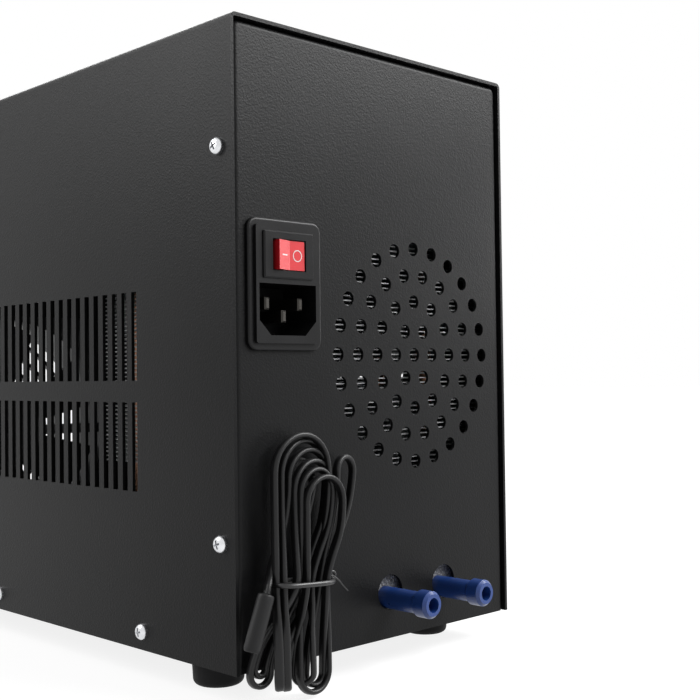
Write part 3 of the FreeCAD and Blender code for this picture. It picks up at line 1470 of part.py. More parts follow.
make_base_pan()
make_rear_panel()
make_front_panel()
make_cover()
make_cover_screws()
make_feet()
make_foot_screws()
make_inlet_housing()
make_inlet_pins()
make_switch()
make_stubs()
make_stub_seals()
make_water_block()
make_foam()
make_modules()
for sink_name, base_centre, stack_centre in zip(("rear", "front"), sink_centres, fin_centres):
    make_sink(sink_name, base_centre, stack_centre)
make_clamp_screws()
make_fan()
make_guard()
make_fan_screws()
make_shelf()
make_supply()
make_control_bezel()
make_window()
make_buttons()
make_board()
make_grommet()
make_exit_lead()
make_hank()
make_tie()
make_probe()

document.recompute()
for item in document.Objects:
    if "Invalid" in item.State or "Error" in item.State:
        raise RuntimeError(f"{item.Label} did not build: {item.State}")
for piece in pieces:
    if piece.Shape.isNull() or not piece.Shape.isValid():
        raise RuntimeError(f"{piece.Label} has no valid shape")

os.makedirs("parts", exist_ok=True)
for piece in pieces:
    piece.Shape.exportStep(f"parts/{piece.Label}.step")
    box = piece.Shape.BoundBox
    print(f"{piece.Label}: {len(piece.Shape.Solids)} solids, "
          f"{box.XLength:.1f} x {box.YLength:.1f} x {box.ZLength:.1f} mm")
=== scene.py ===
import math

import bmesh
import bpy
import numpy as np
from mathutils import Matrix, Vector
from mathutils.bvhtree import BVHTree


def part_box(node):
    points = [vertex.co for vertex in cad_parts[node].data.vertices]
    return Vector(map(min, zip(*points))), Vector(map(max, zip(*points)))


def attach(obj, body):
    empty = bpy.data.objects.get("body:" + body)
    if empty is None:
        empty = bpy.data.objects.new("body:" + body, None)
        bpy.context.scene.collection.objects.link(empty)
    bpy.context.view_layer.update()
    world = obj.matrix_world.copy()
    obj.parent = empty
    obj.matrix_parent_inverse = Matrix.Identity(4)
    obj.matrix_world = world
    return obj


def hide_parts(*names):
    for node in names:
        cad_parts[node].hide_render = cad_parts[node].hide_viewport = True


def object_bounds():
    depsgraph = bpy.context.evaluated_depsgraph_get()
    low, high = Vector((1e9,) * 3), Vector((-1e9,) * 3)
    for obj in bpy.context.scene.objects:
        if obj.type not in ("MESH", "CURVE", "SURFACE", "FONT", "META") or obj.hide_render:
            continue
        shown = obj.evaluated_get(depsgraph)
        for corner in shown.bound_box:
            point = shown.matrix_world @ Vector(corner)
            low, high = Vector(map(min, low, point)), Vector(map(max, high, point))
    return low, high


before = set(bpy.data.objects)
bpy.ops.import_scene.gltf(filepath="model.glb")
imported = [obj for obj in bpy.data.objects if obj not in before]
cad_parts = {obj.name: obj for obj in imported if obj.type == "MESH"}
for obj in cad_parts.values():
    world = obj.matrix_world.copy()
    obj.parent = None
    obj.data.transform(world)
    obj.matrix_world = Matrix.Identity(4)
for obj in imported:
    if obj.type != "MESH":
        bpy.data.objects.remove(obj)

CAD_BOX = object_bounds()
MM = 0.001
WELD = 1e-7

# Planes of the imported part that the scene's own pieces are set against.
COVER_LOW, COVER_HIGH = [Vector(corner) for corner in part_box("cover")]
REAR_Y = COVER_HIGH.y
BASE_Z = COVER_LOW.z


def spot(x, y, z):
    """Millimetres from the cabinet's rear lower centre, as a point of the frame."""
    return Vector((x * MM, REAR_Y + y * MM, BASE_Z + z * MM))


# Materials

class Nodes:
    """Short calls for building one material's node tree."""

    def __init__(self, name):
        self.material = bpy.data.materials.new(name)
        self.material.use_nodes = True
        self.tree = self.material.node_tree
        self.shader = self.tree.nodes["Principled BSDF"]
        self.place = self.add("ShaderNodeTexCoord").outputs["Object"]

    def add(self, kind, **settings):
        node = self.tree.nodes.new(kind)
        for key, value in settings.items():
            setattr(node, key, value)
        return node

    def link(self, output, target):
        self.tree.links.new(output, target)

    def noise(self, scale, detail=3.0, rough=0.55, stretch=None):
        node = self.add("ShaderNodeTexNoise")
        node.inputs["Scale"].default_value = scale
        node.inputs["Detail"].default_value = detail
        node.inputs["Roughness"].default_value = rough
        source = self.place
        if stretch:
            mapping = self.add("ShaderNodeMapping")
            mapping.inputs["Scale"].default_value = stretch
            self.link(source, mapping.inputs["Vector"])
            source = mapping.outputs["Vector"]
        self.link(source, node.inputs["Vector"])
        return node.outputs["Fac"]

    def cells(self, scale, **settings):
        node = self.add("ShaderNodeTexVoronoi", **settings)
        node.inputs["Scale"].default_value = scale
        self.link(self.place, node.inputs["Vector"])
        return node.outputs["Distance"]

    def spread(self, value, low, high, start=0.3, end=0.7):
        node = self.add("ShaderNodeMapRange")
        node.inputs["From Min"].default_value = start
        node.inputs["From Max"].default_value = end
        node.inputs["To Min"].default_value = low
        node.inputs["To Max"].default_value = high
        self.link(value, node.inputs["Value"])
        return node.outputs["Result"]

    def tint(self, value, dark, light, start=0.35, end=0.65):
        node = self.add("ShaderNodeValToRGB")
        stops = zip(node.color_ramp.elements, (start, end), (dark, light))
        for stop, position, color in stops:
            stop.position = position
            stop.color = (*color, 1)
        self.link(value, node.inputs["Fac"])
        return node.outputs["Color"]

    def bump(self, value, height, strength=1.0, below=None):
        node = self.add("ShaderNodeBump")
        node.inputs["Distance"].default_value = height
        node.inputs["Strength"].default_value = strength
        self.link(value, node.inputs["Height"])
        if below:
            self.link(below, node.inputs["Normal"])
        return node.outputs["Normal"]

    def set(self, **values):
        for key, value in values.items():
            self.shader.inputs[key.replace("_", " ")].default_value = value

    def use(self, socket, output):
        self.link(output, self.shader.inputs[socket])


def shade(color, factor):
    return tuple(min(1.0, part * factor) for part in color)


def coated(name, color, roughness, grain, height, mottling=0.15, **extra):
    """Paint or moulded plastic: grain in the surface, slight mottling of colour and gloss."""
    n = Nodes(name)
    broad = n.noise(38.0, 4.0)
    fine = n.noise(grain, 2.0, 0.6)
    n.use("Base Color", n.tint(broad, shade(color, 1 - mottling), shade(color, 1 + mottling)))
    n.use("Roughness", n.spread(broad, roughness - 0.03, roughness + 0.04))
    n.use("Normal", n.bump(fine, height))
    n.set(**extra)
    return n.material


def metal(name, color, roughness, stretch=(1, 1, 1), scratch=900.0, height=0.00002):
    """Bare metal with fine marks, drawn out along the direction the sheet was rolled."""
    n = Nodes(name)
    marks = n.noise(scratch, 4.0, 0.7, stretch)
    broad = n.noise(60.0, 3.0)
    n.use("Base Color", n.tint(broad, shade(color, 0.86), shade(color, 1.06)))
    n.use("Roughness", n.spread(marks, roughness - 0.06, roughness + 0.1))
    n.use("Normal", n.bump(marks, height))
    n.set(Metallic=1.0)
    return n.material


def powder_coat(name, color):
    """Fine textured powder coat: small rounded grains under a satin film."""
    n = Nodes(name)
    broad = n.noise(14.0, 5.0, 0.5)
    grains = n.cells(1500.0, feature="SMOOTH_F1")
    fine = n.noise(2600.0, 2.0, 0.6)
    n.use("Base Color", n.tint(broad, shade(color, 0.9), shade(color, 1.12)))
    n.use("Roughness", n.spread(broad, 0.34, 0.38))
    first = n.bump(grains, 0.00010, 0.55)
    n.use("Normal", n.bump(fine, 0.00006, 0.6, first))
    n.set(Specular_IOR_Level=0.12)
    return n.material


def foam_painted_glints(name):
    """Cut foam: open cells in bump and roughness, with painted glints where the colour is light at
    the cells' middles.
    """
    n = Nodes(name)
    cells = n.cells(1100.0)
    # Painted glints: light grey at each cell's middle, dark grey between.
    n.use("Base Color", n.tint(cells, (0.30, 0.31, 0.33), (0.10, 0.10, 0.11), 0.05, 0.6))
    n.use("Normal", n.bump(cells, 0.0004))
    n.use("Roughness", n.spread(n.noise(700.0), 0.35, 0.75))
    return n.material


def smoked_pane(name):
    """Dark glossy window of the display."""
    n = Nodes(name)
    n.use("Base Color", n.tint(n.noise(25.0), (0.012, 0.012, 0.014), (0.02, 0.018, 0.02)))
    n.use("Roughness", n.spread(n.noise(55.0), 0.04, 0.09))
    n.set(Coat_Weight=0.5, Coat_Roughness=0.03)
    return n.material


def circuit_board(name):
    """Green lacquer with the pattern of tracks under it."""
    n = Nodes(name)
    tracks = n.add("ShaderNodeTexBrick")
    values = {
        "Scale": 260.0,
        "Color1": (0.012, 0.10, 0.04, 1),
        "Color2": (0.02, 0.15, 0.06, 1),
        "Mortar": (0.03, 0.2, 0.08, 1),
    }
    for key, value in values.items():
        tracks.inputs[key].default_value = value
    n.link(n.place, tracks.inputs["Vector"])
    n.use("Base Color", tracks.outputs["Color"])
    n.use("Roughness", n.spread(n.noise(90.0), 0.3, 0.45))
    return n.material


BLACK_COAT = (0.0074, 0.0075, 0.0079)

MATERIALS = {
    "coat": powder_coat("coat_cover", BLACK_COAT),
    "coat_inner": powder_coat("coat_chassis", shade(BLACK_COAT, 0.9)),
    "zinc": metal("zinc_plate", (0.72, 0.73, 0.75), 0.24, scratch=1500.0),
    "foot": coated("foot_rubber", (0.007, 0.007, 0.0075), 0.66, 1300.0, 0.00008,
                   Specular_IOR_Level=0.2),
    "inlet": coated("inlet_plastic", (0.0065, 0.0065, 0.007), 0.3, 1700.0, 0.00003, 0.1,
                    Specular_IOR_Level=0.2),
    # Pin metal darkened far below bright nickel or brass: painted shade of the deep socket on the
    # pins.
    "pins": metal("pin_painted_shade", (0.052, 0.049, 0.045), 0.4, scratch=1800.0),
    "rocker": coated("rocker_red", (0.62, 0.016, 0.024), 0.16, 600.0, 0.00001, 0.08,
                     Coat_Weight=0.7, Coat_Roughness=0.09),
    "mark": coated("mark_white", (0.66, 0.6, 0.6), 0.4, 900.0, 0.00001, 0.04),
    "stub": coated("stub_blue", (0.013, 0.046, 0.20), 0.3, 500.0, 0.00003, 0.12,
                   Subsurface_Weight=0.06, Subsurface_Radius=(0.0005, 0.0008, 0.002)),
    "seal": coated("seal_rubber", (0.02, 0.02, 0.02), 0.6, 900.0, 0.00004),
    "milled": metal("milled_aluminium", (0.80, 0.81, 0.82), 0.3, (1, 12, 12), 500.0),
    "fins": metal("fin_aluminium", (0.78, 0.79, 0.80), 0.34, (1, 8, 1), 400.0),
    "pipe": metal("pipe_copper", (0.78, 0.42, 0.27), 0.28, (1, 1, 6), 500.0),
    "ceramic": coated("tile_ceramic", (0.75, 0.75, 0.72), 0.55, 700.0, 0.00002, 0.05),
    "foam": foam_painted_glints("foam_grey"),
    "fan": coated("fan_plastic", (0.02, 0.02, 0.022), 0.42, 1200.0, 0.00004),
    "guard": coated("guard_plastic", (0.02, 0.02, 0.022), 0.46, 1500.0, 0.00005),
    "shelf": metal("shelf_zinc", (0.62, 0.64, 0.66), 0.36, (1, 6, 1), 300.0),
    "case": metal("case_aluminium", (0.70, 0.71, 0.72), 0.38, (1, 5, 1), 350.0),
    "terminal": coated("terminal_plastic", (0.02, 0.02, 0.02), 0.45, 800.0, 0.00004),
    "bezel": coated("bezel_plastic", (0.018, 0.018, 0.02), 0.38, 1600.0, 0.00004),
    "pane": smoked_pane("pane_smoked"),
    "button": coated("button_grey", (0.16, 0.165, 0.175), 0.42, 1400.0, 0.00003),
    "board": circuit_board("board_green"),
    "display": coated("display_block", (0.06, 0.06, 0.062), 0.3, 700.0, 0.00002),
    "grommet": coated("grommet_rubber", (0.009, 0.009, 0.0095), 0.55, 1200.0, 0.00005),
    "cord": coated("cord_jacket", (0.0085, 0.0085, 0.009), 0.38, 420.0, 0.00006, 0.12,
                   Specular_IOR_Level=0.3),
    "probe": coated("probe_plastic", (0.009, 0.009, 0.0095), 0.45, 900.0, 0.00004,
                    Specular_IOR_Level=0.25),
    "tie": coated("tie_jacket", (0.013, 0.013, 0.0135), 0.32, 700.0, 0.00003),
}

DRESS = {
    "cover": "coat",
    "base_pan": "coat_inner",
    "rear_panel": "coat_inner",
    "front_panel": "coat_inner",
    "foot_rear_left": "foot",
    "foot_rear_right": "foot",
    "foot_front_left": "foot",
    "foot_front_right": "foot",
    "foot_screws": "zinc",
    "foot_nuts": "zinc",
    "inlet_housing": "inlet",
    "inlet_pins": "pins",
    "switch_bezel": "inlet",
    "switch_rocker": "rocker",
    "outlet_stub": "stub",
    "inlet_stub": "stub",
    "stub_seals": "seal",
    "water_block": "milled",
    "foam_cladding": "foam",
    "thermoelectric_modules": "ceramic",
    "sink_base_rear": "milled",
    "sink_base_front": "milled",
    "heat_pipes_rear": "pipe",
    "heat_pipes_front": "pipe",
    "fins_rear": "fins",
    "fins_front": "fins",
    "clamp_screws": "zinc",
    "fan_frame": "fan",
    "fan_rotor": "fan",
    "finger_guard": "guard",
    "shelf": "shelf",
    "power_supply": "case",
    "supply_screws": "zinc",
    "terminal_block": "terminal",
    "control_bezel": "bezel",
    "display_window": "pane",
    "button_down": "button",
    "button_set": "button",
    "button_up": "button",
    "control_board": "board",
    "digit_display": "display",
    "cord_grommet": "grommet",
}


def paint(piece, key):
    piece.data.materials.clear()
    piece.data.materials.append(MATERIALS[key])


def node_object(name):
    return bpy.data.objects[name]


def dress_nodes():
    for name, key in DRESS.items():
        piece = node_object(name)
        for place in piece.material_slots:
            place.material = MATERIALS[key]


# Mesh helpers

def place_object(name, data):
    piece = bpy.data.objects.new(name, data)
    bpy.context.scene.collection.objects.link(piece)
    return piece


def make_object(name, vertices, faces, key, body="cabinet"):
    mesh = bpy.data.meshes.new(name)
    mesh.from_pydata([tuple(v) for v in vertices], [], faces)
    mesh.validate()
    mesh.update()
    piece = place_object(name, mesh)
    tidy_mesh(piece)
    paint(piece, key)
    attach(piece, body)
    return piece


def tidy_mesh(piece, angle=40.0):
    """Welds the mesh, turns its faces outward and keeps edges over the angle sharp."""
    work = bmesh.new()
    work.from_mesh(piece.data)
    bmesh.ops.remove_doubles(work, verts=work.verts, dist=WELD)
    bmesh.ops.recalc_face_normals(work, faces=work.faces)
    for face in work.faces:
        face.smooth = True
    for edge in work.edges:
        if len(edge.link_faces) == 2:
            edge.smooth = edge.calc_face_angle(0.0) < math.radians(angle)
    work.to_mesh(piece.data)
    work.free()


def lathe_mesh(profile, segments=48):
    """Vertices and faces of a closed body turned about Z from (radius, height) points."""
    vertices = []
    faces = []
    for radius, height in profile:
        for step in range(segments):
            angle = 2 * math.pi * step / segments
            vertices.append(Vector((radius * math.cos(angle), radius * math.sin(angle), height)))
    for ring in range(len(profile) - 1):
        for step in range(segments):
            after = (step + 1) % segments
            low = ring * segments
            high = low + segments
            faces.append((low + step, low + after, high + after, high + step))
    faces.append(tuple(reversed(range(segments))))
    last = (len(profile) - 1) * segments
    faces.append(tuple(range(last, last + segments)))
    return vertices, faces


def rounded(points, radius, steps=5):
    """An outline of 2-D points with each inner corner rounded by a short curve."""
    found = [points[0]]
    for before, corner, after in zip(points, points[1:], points[2:]):
        corner = Vector(corner)
        to_first = Vector(before) - corner
        to_last = Vector(after) - corner
        reach = min(radius, to_first.length * 0.45, to_last.length * 0.45)
        first = corner + to_first.normalized() * reach
        last = corner + to_last.normalized() * reach
        for step in range(steps + 1):
            t = step / steps
            found.append(tuple(first * (1 - t) ** 2 + corner * 2 * t * (1 - t) + last * t ** 2))
    found.append(points[-1])
    return found


def placed_mesh(name):
    """A node's mesh in the frame's own coordinates."""
    piece = node_object(name)
    work = bmesh.new()
    work.from_mesh(piece.data)
    work.transform(piece.matrix_world)
    return work


def islands(name):
    """Boxes of the separate solids of a node, as low and high corners."""
    work = placed_mesh(name)
    bmesh.ops.remove_doubles(work, verts=work.verts, dist=WELD)
    left = set(work.verts)
    boxes = []
    while left:
        stack = [left.pop()]
        group = list(stack)
        while stack:
            for edge in stack.pop().link_edges:
                for vertex in edge.verts:
                    if vertex in left:
                        left.remove(vertex)
                        stack.append(vertex)
                        group.append(vertex)
        corners = np.array([v.co for v in group])
        boxes.append((Vector(corners.min(0)), Vector(corners.max(0))))
    work.free()
    return sorted(boxes, key=lambda box: [round(part, 5) for part in box[0]])


def evaluated_mesh(piece):
    """The mesh that a piece's curve or modifiers make."""
    bpy.context.view_layer.update()
    graph = bpy.context.evaluated_depsgraph_get()
    return bpy.data.meshes.new_from_object(piece.evaluated_get(graph))


# Screws with a cross recess

# Length, width and level of the recess's arms, as shares of the head's radius and height.
RECESS_MOUTH = (1.16, 0.25, 1.2)
RECESS_FLOOR = (0.62, 0.13, 0.15)
FAN_HEAD_HEIGHT = 2.2 * MM


def cross_head_mesh(radius, height):
    """A pan head on the plane z = 0 with a tapered cross recess."""
    outline = [
        (radius, 0),
        (radius, height * 0.45),
        (radius * 0.72, height * 0.9),
        (0.02 * radius, height),
    ]
    vertices, faces = lathe_mesh(rounded(outline, radius * 0.3), 56)
    head = make_object("head_blank", vertices, faces, "zinc")
    arms = bmesh.new()
    for turn in (0, math.pi / 2):
        made = bmesh.ops.create_cube(arms, size=1)["verts"]
        for vertex in made:
            length, width, level = RECESS_FLOOR if vertex.co.z < 0 else RECESS_MOUTH
            vertex.co.x *= radius * length
            vertex.co.y *= radius * width
            vertex.co.z = height * level
        bmesh.ops.rotate(arms, verts=made, matrix=Matrix.Rotation(turn, 3, "Z"))
    cutter_mesh = bpy.data.meshes.new("cross_cutter")
    arms.to_mesh(cutter_mesh)
    arms.free()
    cutter = place_object("cross_cutter", cutter_mesh)
    difference = head.modifiers.new("recess", "BOOLEAN")
    difference.operation = "DIFFERENCE"
    difference.solver = "EXACT"
    difference.use_self = True
    difference.object = cutter
    made = evaluated_mesh(head)
    head.modifiers.clear()
    head.data = made
    tidy_mesh(head, 30.0)
    mesh = head.data.copy()
    bpy.data.objects.remove(head)
    bpy.data.objects.remove(cutter)
    return mesh


def set_heads(name, node, mesh, frames):
    """One piece of many heads, each at its own place and turn."""
    work = bmesh.new()
    for matrix in frames:
        part = mesh.copy()
        part.transform(matrix)
        work.from_mesh(part)
        bpy.data.meshes.remove(part)
    joined = bpy.data.meshes.new(name)
    work.to_mesh(joined)
    work.free()
    piece = place_object(name, joined)
    paint(piece, "zinc")
    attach(piece, "cabinet")
    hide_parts(node)


def make_cover_screws():
    boxes = islands("cover_screws")
    low, high = boxes[0]
    radius = (high.z - low.z) / 2
    proud = CAD_BOX[1][0] - COVER_HIGH.x
    mesh = cross_head_mesh(radius, proud)
    frames = []
    for number, (low, high) in enumerate(boxes):
        middle = (low + high) / 2
        side = 1 if middle.x > 0 else -1
        place = Matrix.Translation((COVER_HIGH.x * side, middle.y, middle.z))
        facing = Matrix.Rotation(math.pi / 2 * side, 4, "Y")
        turned = Matrix.Rotation(0.35 + 1.7 * number, 4, "Z")
        frames.append(place @ facing @ turned)
    set_heads("cover_screw_heads", "cover_screws", mesh, frames)


def make_fan_screws():
    boxes = islands("fan_screws")
    low, high = boxes[0]
    radius = (high.z - low.z) / 2
    face = low.y
    mesh = cross_head_mesh(radius, FAN_HEAD_HEIGHT)
    frames = []
    for number, (low, high) in enumerate(boxes):
        middle = (low + high) / 2
        place = Matrix.Translation((middle.x, face + FAN_HEAD_HEIGHT, middle.z))
        facing = Matrix.Rotation(math.pi / 2, 4, "X")
        frames.append(place @ facing @ Matrix.Rotation(0.6 + 1.3 * number, 4, "Z"))
    set_heads("fan_screw_heads", "fan_screws", mesh, frames)


# Marks on the rocker: a dash on its +X half and a ring on the other

DASH_HALF_LENGTH = 1.35 * MM
DASH_HALF_WIDTH = 0.2 * MM
RING_RADII = (1.6 * MM, 1.75 * MM, 1.9 * MM)


def surface_of(name):
    work = placed_mesh(name)
    tree = BVHTree.FromBMesh(work)
    work.free()
    return tree


def make_decal(name, tree, outline_rows, direction, key, body, lift=0.00004):
    """A thin skin laid on the surface: rows of points across its width."""
    vertices = []
    faces = []
    for row in outline_rows:
        for point in row:
            hit, normal, _, _ = tree.ray_cast(point, direction)
            vertices.append(hit + normal * lift)
    count = len(outline_rows[0])
    for row in range(len(outline_rows) - 1):
        for step in range(count - 1):
            first = row * count + step
            faces.append((first, first + 1, first + count + 1, first + count))
    return make_object(name, vertices, faces, key, body)


def make_rocker_marks():
    low, high = [Vector(corner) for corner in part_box("switch_rocker")]
    middle = (low + high) / 2
    half = (high.x - low.x) / 2
    tree = surface_of("switch_rocker")
    inward = Vector((0, -1, 0))
    front = high.y + 5 * MM
    dash_x = middle.x + half * 0.5
    steps = np.linspace(-DASH_HALF_LENGTH, DASH_HALF_LENGTH, 9)
    dash = []
    for z in np.linspace(-DASH_HALF_WIDTH, DASH_HALF_WIDTH, 3):
        dash.append([Vector((dash_x + x, front, middle.z + z)) for x in steps])
    make_decal("rocker_dash", tree, dash, inward, "mark", "rocker")
    ring_x = middle.x - half * 0.5
    angles = np.linspace(0, 2 * math.pi, 41)
    rings = []
    for radius in RING_RADII:
        across = [ring_x + radius * math.cos(a) for a in angles]
        upward = [middle.z + radius * math.sin(a) for a in angles]
        rings.append([Vector((x, front, z)) for x, z in zip(across, upward)])
    make_decal("rocker_ring", tree, rings, inward, "mark", "rocker")


# Probe cord: flat twin cord in a tied hank

CORD_WIDTH = 3.1 * MM
CORD_THICK = 1.9 * MM
CORD_LEAN = 0.12
TIE_LEVEL = 26.6

# Places of a loop's corners, which give the curve a round end: shares of the loop's radius.
TURN_START = 1.5
ROUND_CORNER = 0.59

# Where the cord leaves: out of the grommet and down behind the hank to the tie.
CORD_START = [
    (39.0, -1.0, 60.0),
    (39.0, 1.2, 60.0),
    (39.0, 3.6, 59.9),
    (39.2, 5.2, 57.6),
    (39.7, 4.6, 53.0),
    (41.0, 3.4, 46.0),
    (42.8, 3.4, 36.0),
    (43.8, 3.4, 26.6),
]

# Loops above the tie, first to last: right leg, top and left leg as (x, y), and the top's level.
UPPER_LOOPS = [
    ((19.4, 3.0), (24.6, 4.3), (28.6, 5.0), 64.8),
    ((29.8, 8.8), (37.8, 9.2), (45.7, 9.0), 59.5),
    ((32.0, 6.0), (39.3, 6.9), (46.6, 7.2), 61.8),
    ((31.3, 2.6), (41.6, 3.6), (51.9, 4.0), 71.0),
    ((32.8, 5.2), (44.2, 5.5), (55.6, 5.2), 73.0),
    ((30.0, 3.2), (38.9, 5.1), (47.9, 5.6), 64.4),
    ((31.6, 3.6), (40.0, 4.2), (49.0, 4.2), 68.0),
]

# Legs at the tie, first to last: right leg and left leg of each upper loop.
TIED_LEGS = [
    ((32.4, 3.4), (37.8, 6.2)),
    ((37.6, 9.0), (46.2, 9.4)),
    ((41.9, 6.4), (46.4, 6.4)),
    ((40.3, 3.4), (54.2, 7.6)),
    ((37.9, 3.4), (56.2, 6.2)),
    ((35.5, 3.4), (49.8, 9.0)),
    ((42.2, 3.2), (57.2, 3.4)),
]

# Loops below the tie, first to last: left leg, foot and right leg as (x, y), and the foot's level.
LOWER_LOOPS = [
    ((48.1, 7.6), (41.9, 7.8), (35.7, 7.4), -8.0),
    ((43.2, 5.0), (40.0, 5.6), (36.4, 5.6), -6.6),
    ((47.9, 4.6), (47.0, 7.4), (44.1, 9.8), -4.6),
    ((61.9, 2.2), (59.9, 2.6), (57.9, 2.8), -0.6),
    ((55.5, 10.0), (53.5, 7.9), (51.5, 5.2), -4.6),
    ((58.2, 9.8), (56.2, 7.7), (54.2, 5.0), -4.1),
    ((63.9, 2.6), (60.2, 3.0), (56.5, 3.4), -3.6),
]

# From the last leg under the tie to the probe's neck.
CORD_END = [
    (55.8, 3.6, 32.6),
    (57.2, 4.4, 30.0),
    (58.8, 5.8, 28.4),
    (60.0, 6.8, 27.0),
    (60.7, 7.0, 25.2),
]

# The probe hangs from its neck and leans out towards the cover's side.
PROBE_TOP = CORD_END[-1]
PROBE_END = (66.9, 7.0, 8.6)
PROBE_RADIUS = 2.7 * MM
NECK_RADIUS = 1.1 * MM
NECK_LENGTH = 1.4 * MM
AXIS_HOLE = 0.3 * MM

# The tie's band: its middle, half its width and depth, and how far its +X end sits above the other.
TIE_MIDDLE = (45.4, 6.2, 27.0)
TIE_HALF = (11.2, 5.7)
TIE_TILT = 1.8
TIE_SAG = 0.5 * MM
TIE_FLATNESS = 0.62
TIE_STEPS = 20
TIE_START = -0.12 * math.pi
TIE_SWEEP = -1.86 * math.pi

# The twisted ends: first point off the band, the twist's radius and the free end, in millimetres.
KNOT_OFFSET = (-0.2, 1.0, 0.9)
TWIST_RADIUS = 1.3
TWIST_STEPS = 13
TWIST_DRIFT = (-0.12, 0.1, 0.06)
FREE_END = [(-3.6, 1.2, -1.4), (-5.6, 1.0, -3.6), (-8.2, 0.6, -5.6)]

# Radius of the tie in millimetres at shares of its length.
TIE_SHARES = [0, 0.62, 0.7, 0.9, 1]
TIE_RADII = [0.85, 0.85, 0.6, 0.45, 0.22]
TIE_SEGMENTS = 12


def blend(first, last, share):
    return tuple(a + (b - a) * share for a, b in zip(first, last))


def loop_points(first_leg, side_in, top, side_out, last_leg, level):
    """Twelve points of one loop, from the tie to its end and back to the tie."""
    radius = (Vector(side_in) - Vector(side_out)).length / 2
    upward = math.copysign(1, level - TIE_LEVEL)
    turn_at = level - upward * radius * TURN_START
    shoulder = level - upward * radius * ROUND_CORNER
    near_tie = TIE_LEVEL + (turn_at - TIE_LEVEL) * 0.3
    half_way = TIE_LEVEL + (turn_at - TIE_LEVEL) * 0.65
    return [
        (*first_leg, TIE_LEVEL),
        (*blend(first_leg, side_in, 0.3), near_tie),
        (*blend(first_leg, side_in, 0.8), half_way),
        (*side_in, turn_at),
        (*side_in, shoulder),
        (*blend(side_in, top, ROUND_CORNER), level),
        (*blend(side_out, top, ROUND_CORNER), level),
        (*side_out, shoulder),
        (*side_out, turn_at),
        (*blend(last_leg, side_out, 0.8), half_way),
        (*blend(last_leg, side_out, 0.3), near_tie),
        (*last_leg, TIE_LEVEL),
    ]


def cord_route():
    """Control points of the whole cord and the way its flat side faces at each of them."""
    route = list(CORD_START)
    facing = [math.pi / 2] * len(route)
    leg = CORD_START[-1][:2]
    for upper, tied, lower in zip(UPPER_LOOPS, TIED_LEGS, LOWER_LOOPS):
        right, left = tied
        down = loop_points(leg, lower[0], lower[1], lower[2], right, lower[3])
        across = Vector(lower[2]) - Vector(lower[0])
        turn = math.atan2(-across.x, across.y) % math.pi
        route += down[1:-1]
        facing += [math.pi / 2] + [turn] * (len(down) - 4) + [math.pi / 2]
        up = loop_points(right, upper[0], upper[1], upper[2], left, upper[3])
        route += up
        facing += [math.pi / 2] * len(up)
        leg = left
    route = route[:-1] + CORD_END
    facing = facing[:-1] + [math.pi / 2] * 2 + [math.pi * 0.4] * (len(CORD_END) - 2)
    return [spot(*point) for point in route], facing


def smooth_line(name, points, resolution=6):
    """Points along the NURBS curve that the route's points control."""
    curve = bpy.data.curves.new(name, "CURVE")
    curve.dimensions = "3D"
    curve.resolution_u = resolution
    spline = curve.splines.new("NURBS")
    spline.points.add(len(points) - 1)
    for place, point in zip(spline.points, points):
        place.co = (*point, 1)
    spline.order_u = 3
    spline.use_endpoint_u = True
    holder = place_object(name, curve)
    made = evaluated_mesh(holder)
    line = [v.co.copy() for v in made.vertices]
    bpy.data.objects.remove(holder)
    bpy.data.meshes.remove(made)
    return line


def sweep(name, line, section, wide_axes, key):
    """A closed tube of the given section; the section's first axis follows wide_axes."""
    vertices = []
    faces = []
    count = len(section)
    for number, point in enumerate(line):
        before = line[max(0, number - 1)]
        after = line[min(len(line) - 1, number + 1)]
        along = (after - before).normalized()
        wide = wide_axes[number] - along * along.dot(wide_axes[number])
        wide.normalize()
        thin = along.cross(wide)
        for across, up in section:
            vertices.append(point + wide * across + thin * up)
    for ring in range(len(line) - 1):
        low = ring * count
        for step in range(count):
            after = (step + 1) % count
            faces.append((low + step, low + after, low + count + after, low + count + step))
    faces.append(tuple(reversed(range(count))))
    faces.append(tuple(range(len(vertices) - count, len(vertices))))
    return make_object(name, vertices, faces, key)


def squared(value, power):
    """A sine or cosine raised to a power with its sign kept, for a flattened circle."""
    return math.copysign(abs(value) ** power, value)


def twin_section(width, thick, steps=22):
    """Outline of a flat twin cord: two round cores with a groove between them."""
    outline = []
    for step in range(steps):
        angle = 2 * math.pi * step / steps
        across = squared(math.cos(angle), 0.8) * width / 2
        groove = 1 - 0.36 * math.exp(-((across / (width * 0.09)) ** 2))
        outline.append((across, math.sin(angle) * thick / 2 * groove))
    return outline


def round_section(radius, steps):
    angles = [2 * math.pi * step / steps for step in range(steps)]
    return [(radius * math.cos(a), radius * math.sin(a)) for a in angles]


def make_cord():
    route, facing = cord_route()
    line = smooth_line("cord_route", route)
    places = np.linspace(0, len(route) - 1, len(line))
    turns = np.interp(places, range(len(route)), facing)
    wide = [Vector((math.cos(t), math.sin(t), CORD_LEAN)) for t in turns]
    cord = sweep("probe_cord", line, twin_section(CORD_WIDTH, CORD_THICK), wide, "cord")
    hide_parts("cord_hank", "cord_exit_lead", "probe_lead")
    probe = make_probe()
    tie = make_tie()


def make_probe():
    """A smooth capsule with a short neck, in the place of the solid probe."""
    top = spot(*PROBE_TOP)
    along = spot(*PROBE_END) - top
    length = along.length
    outline = rounded([
        (AXIS_HOLE, -NECK_LENGTH),
        (NECK_RADIUS - 0.2 * MM, -NECK_LENGTH),
        (NECK_RADIUS, 0),
        (PROBE_RADIUS * 0.93, 0.05 * MM),
        (PROBE_RADIUS, 1.2 * MM),
        (PROBE_RADIUS, length - 1.0 * MM),
        (PROBE_RADIUS * 0.86, length),
        (AXIS_HOLE, length),
    ], 0.8 * MM)
    vertices, faces = lathe_mesh(outline, 40)
    turn = along.to_track_quat("Z", "Y").to_matrix()
    probe = make_object("probe_capsule", [top + turn @ v for v in vertices], faces, "probe")
    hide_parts("temperature_probe")
    return probe


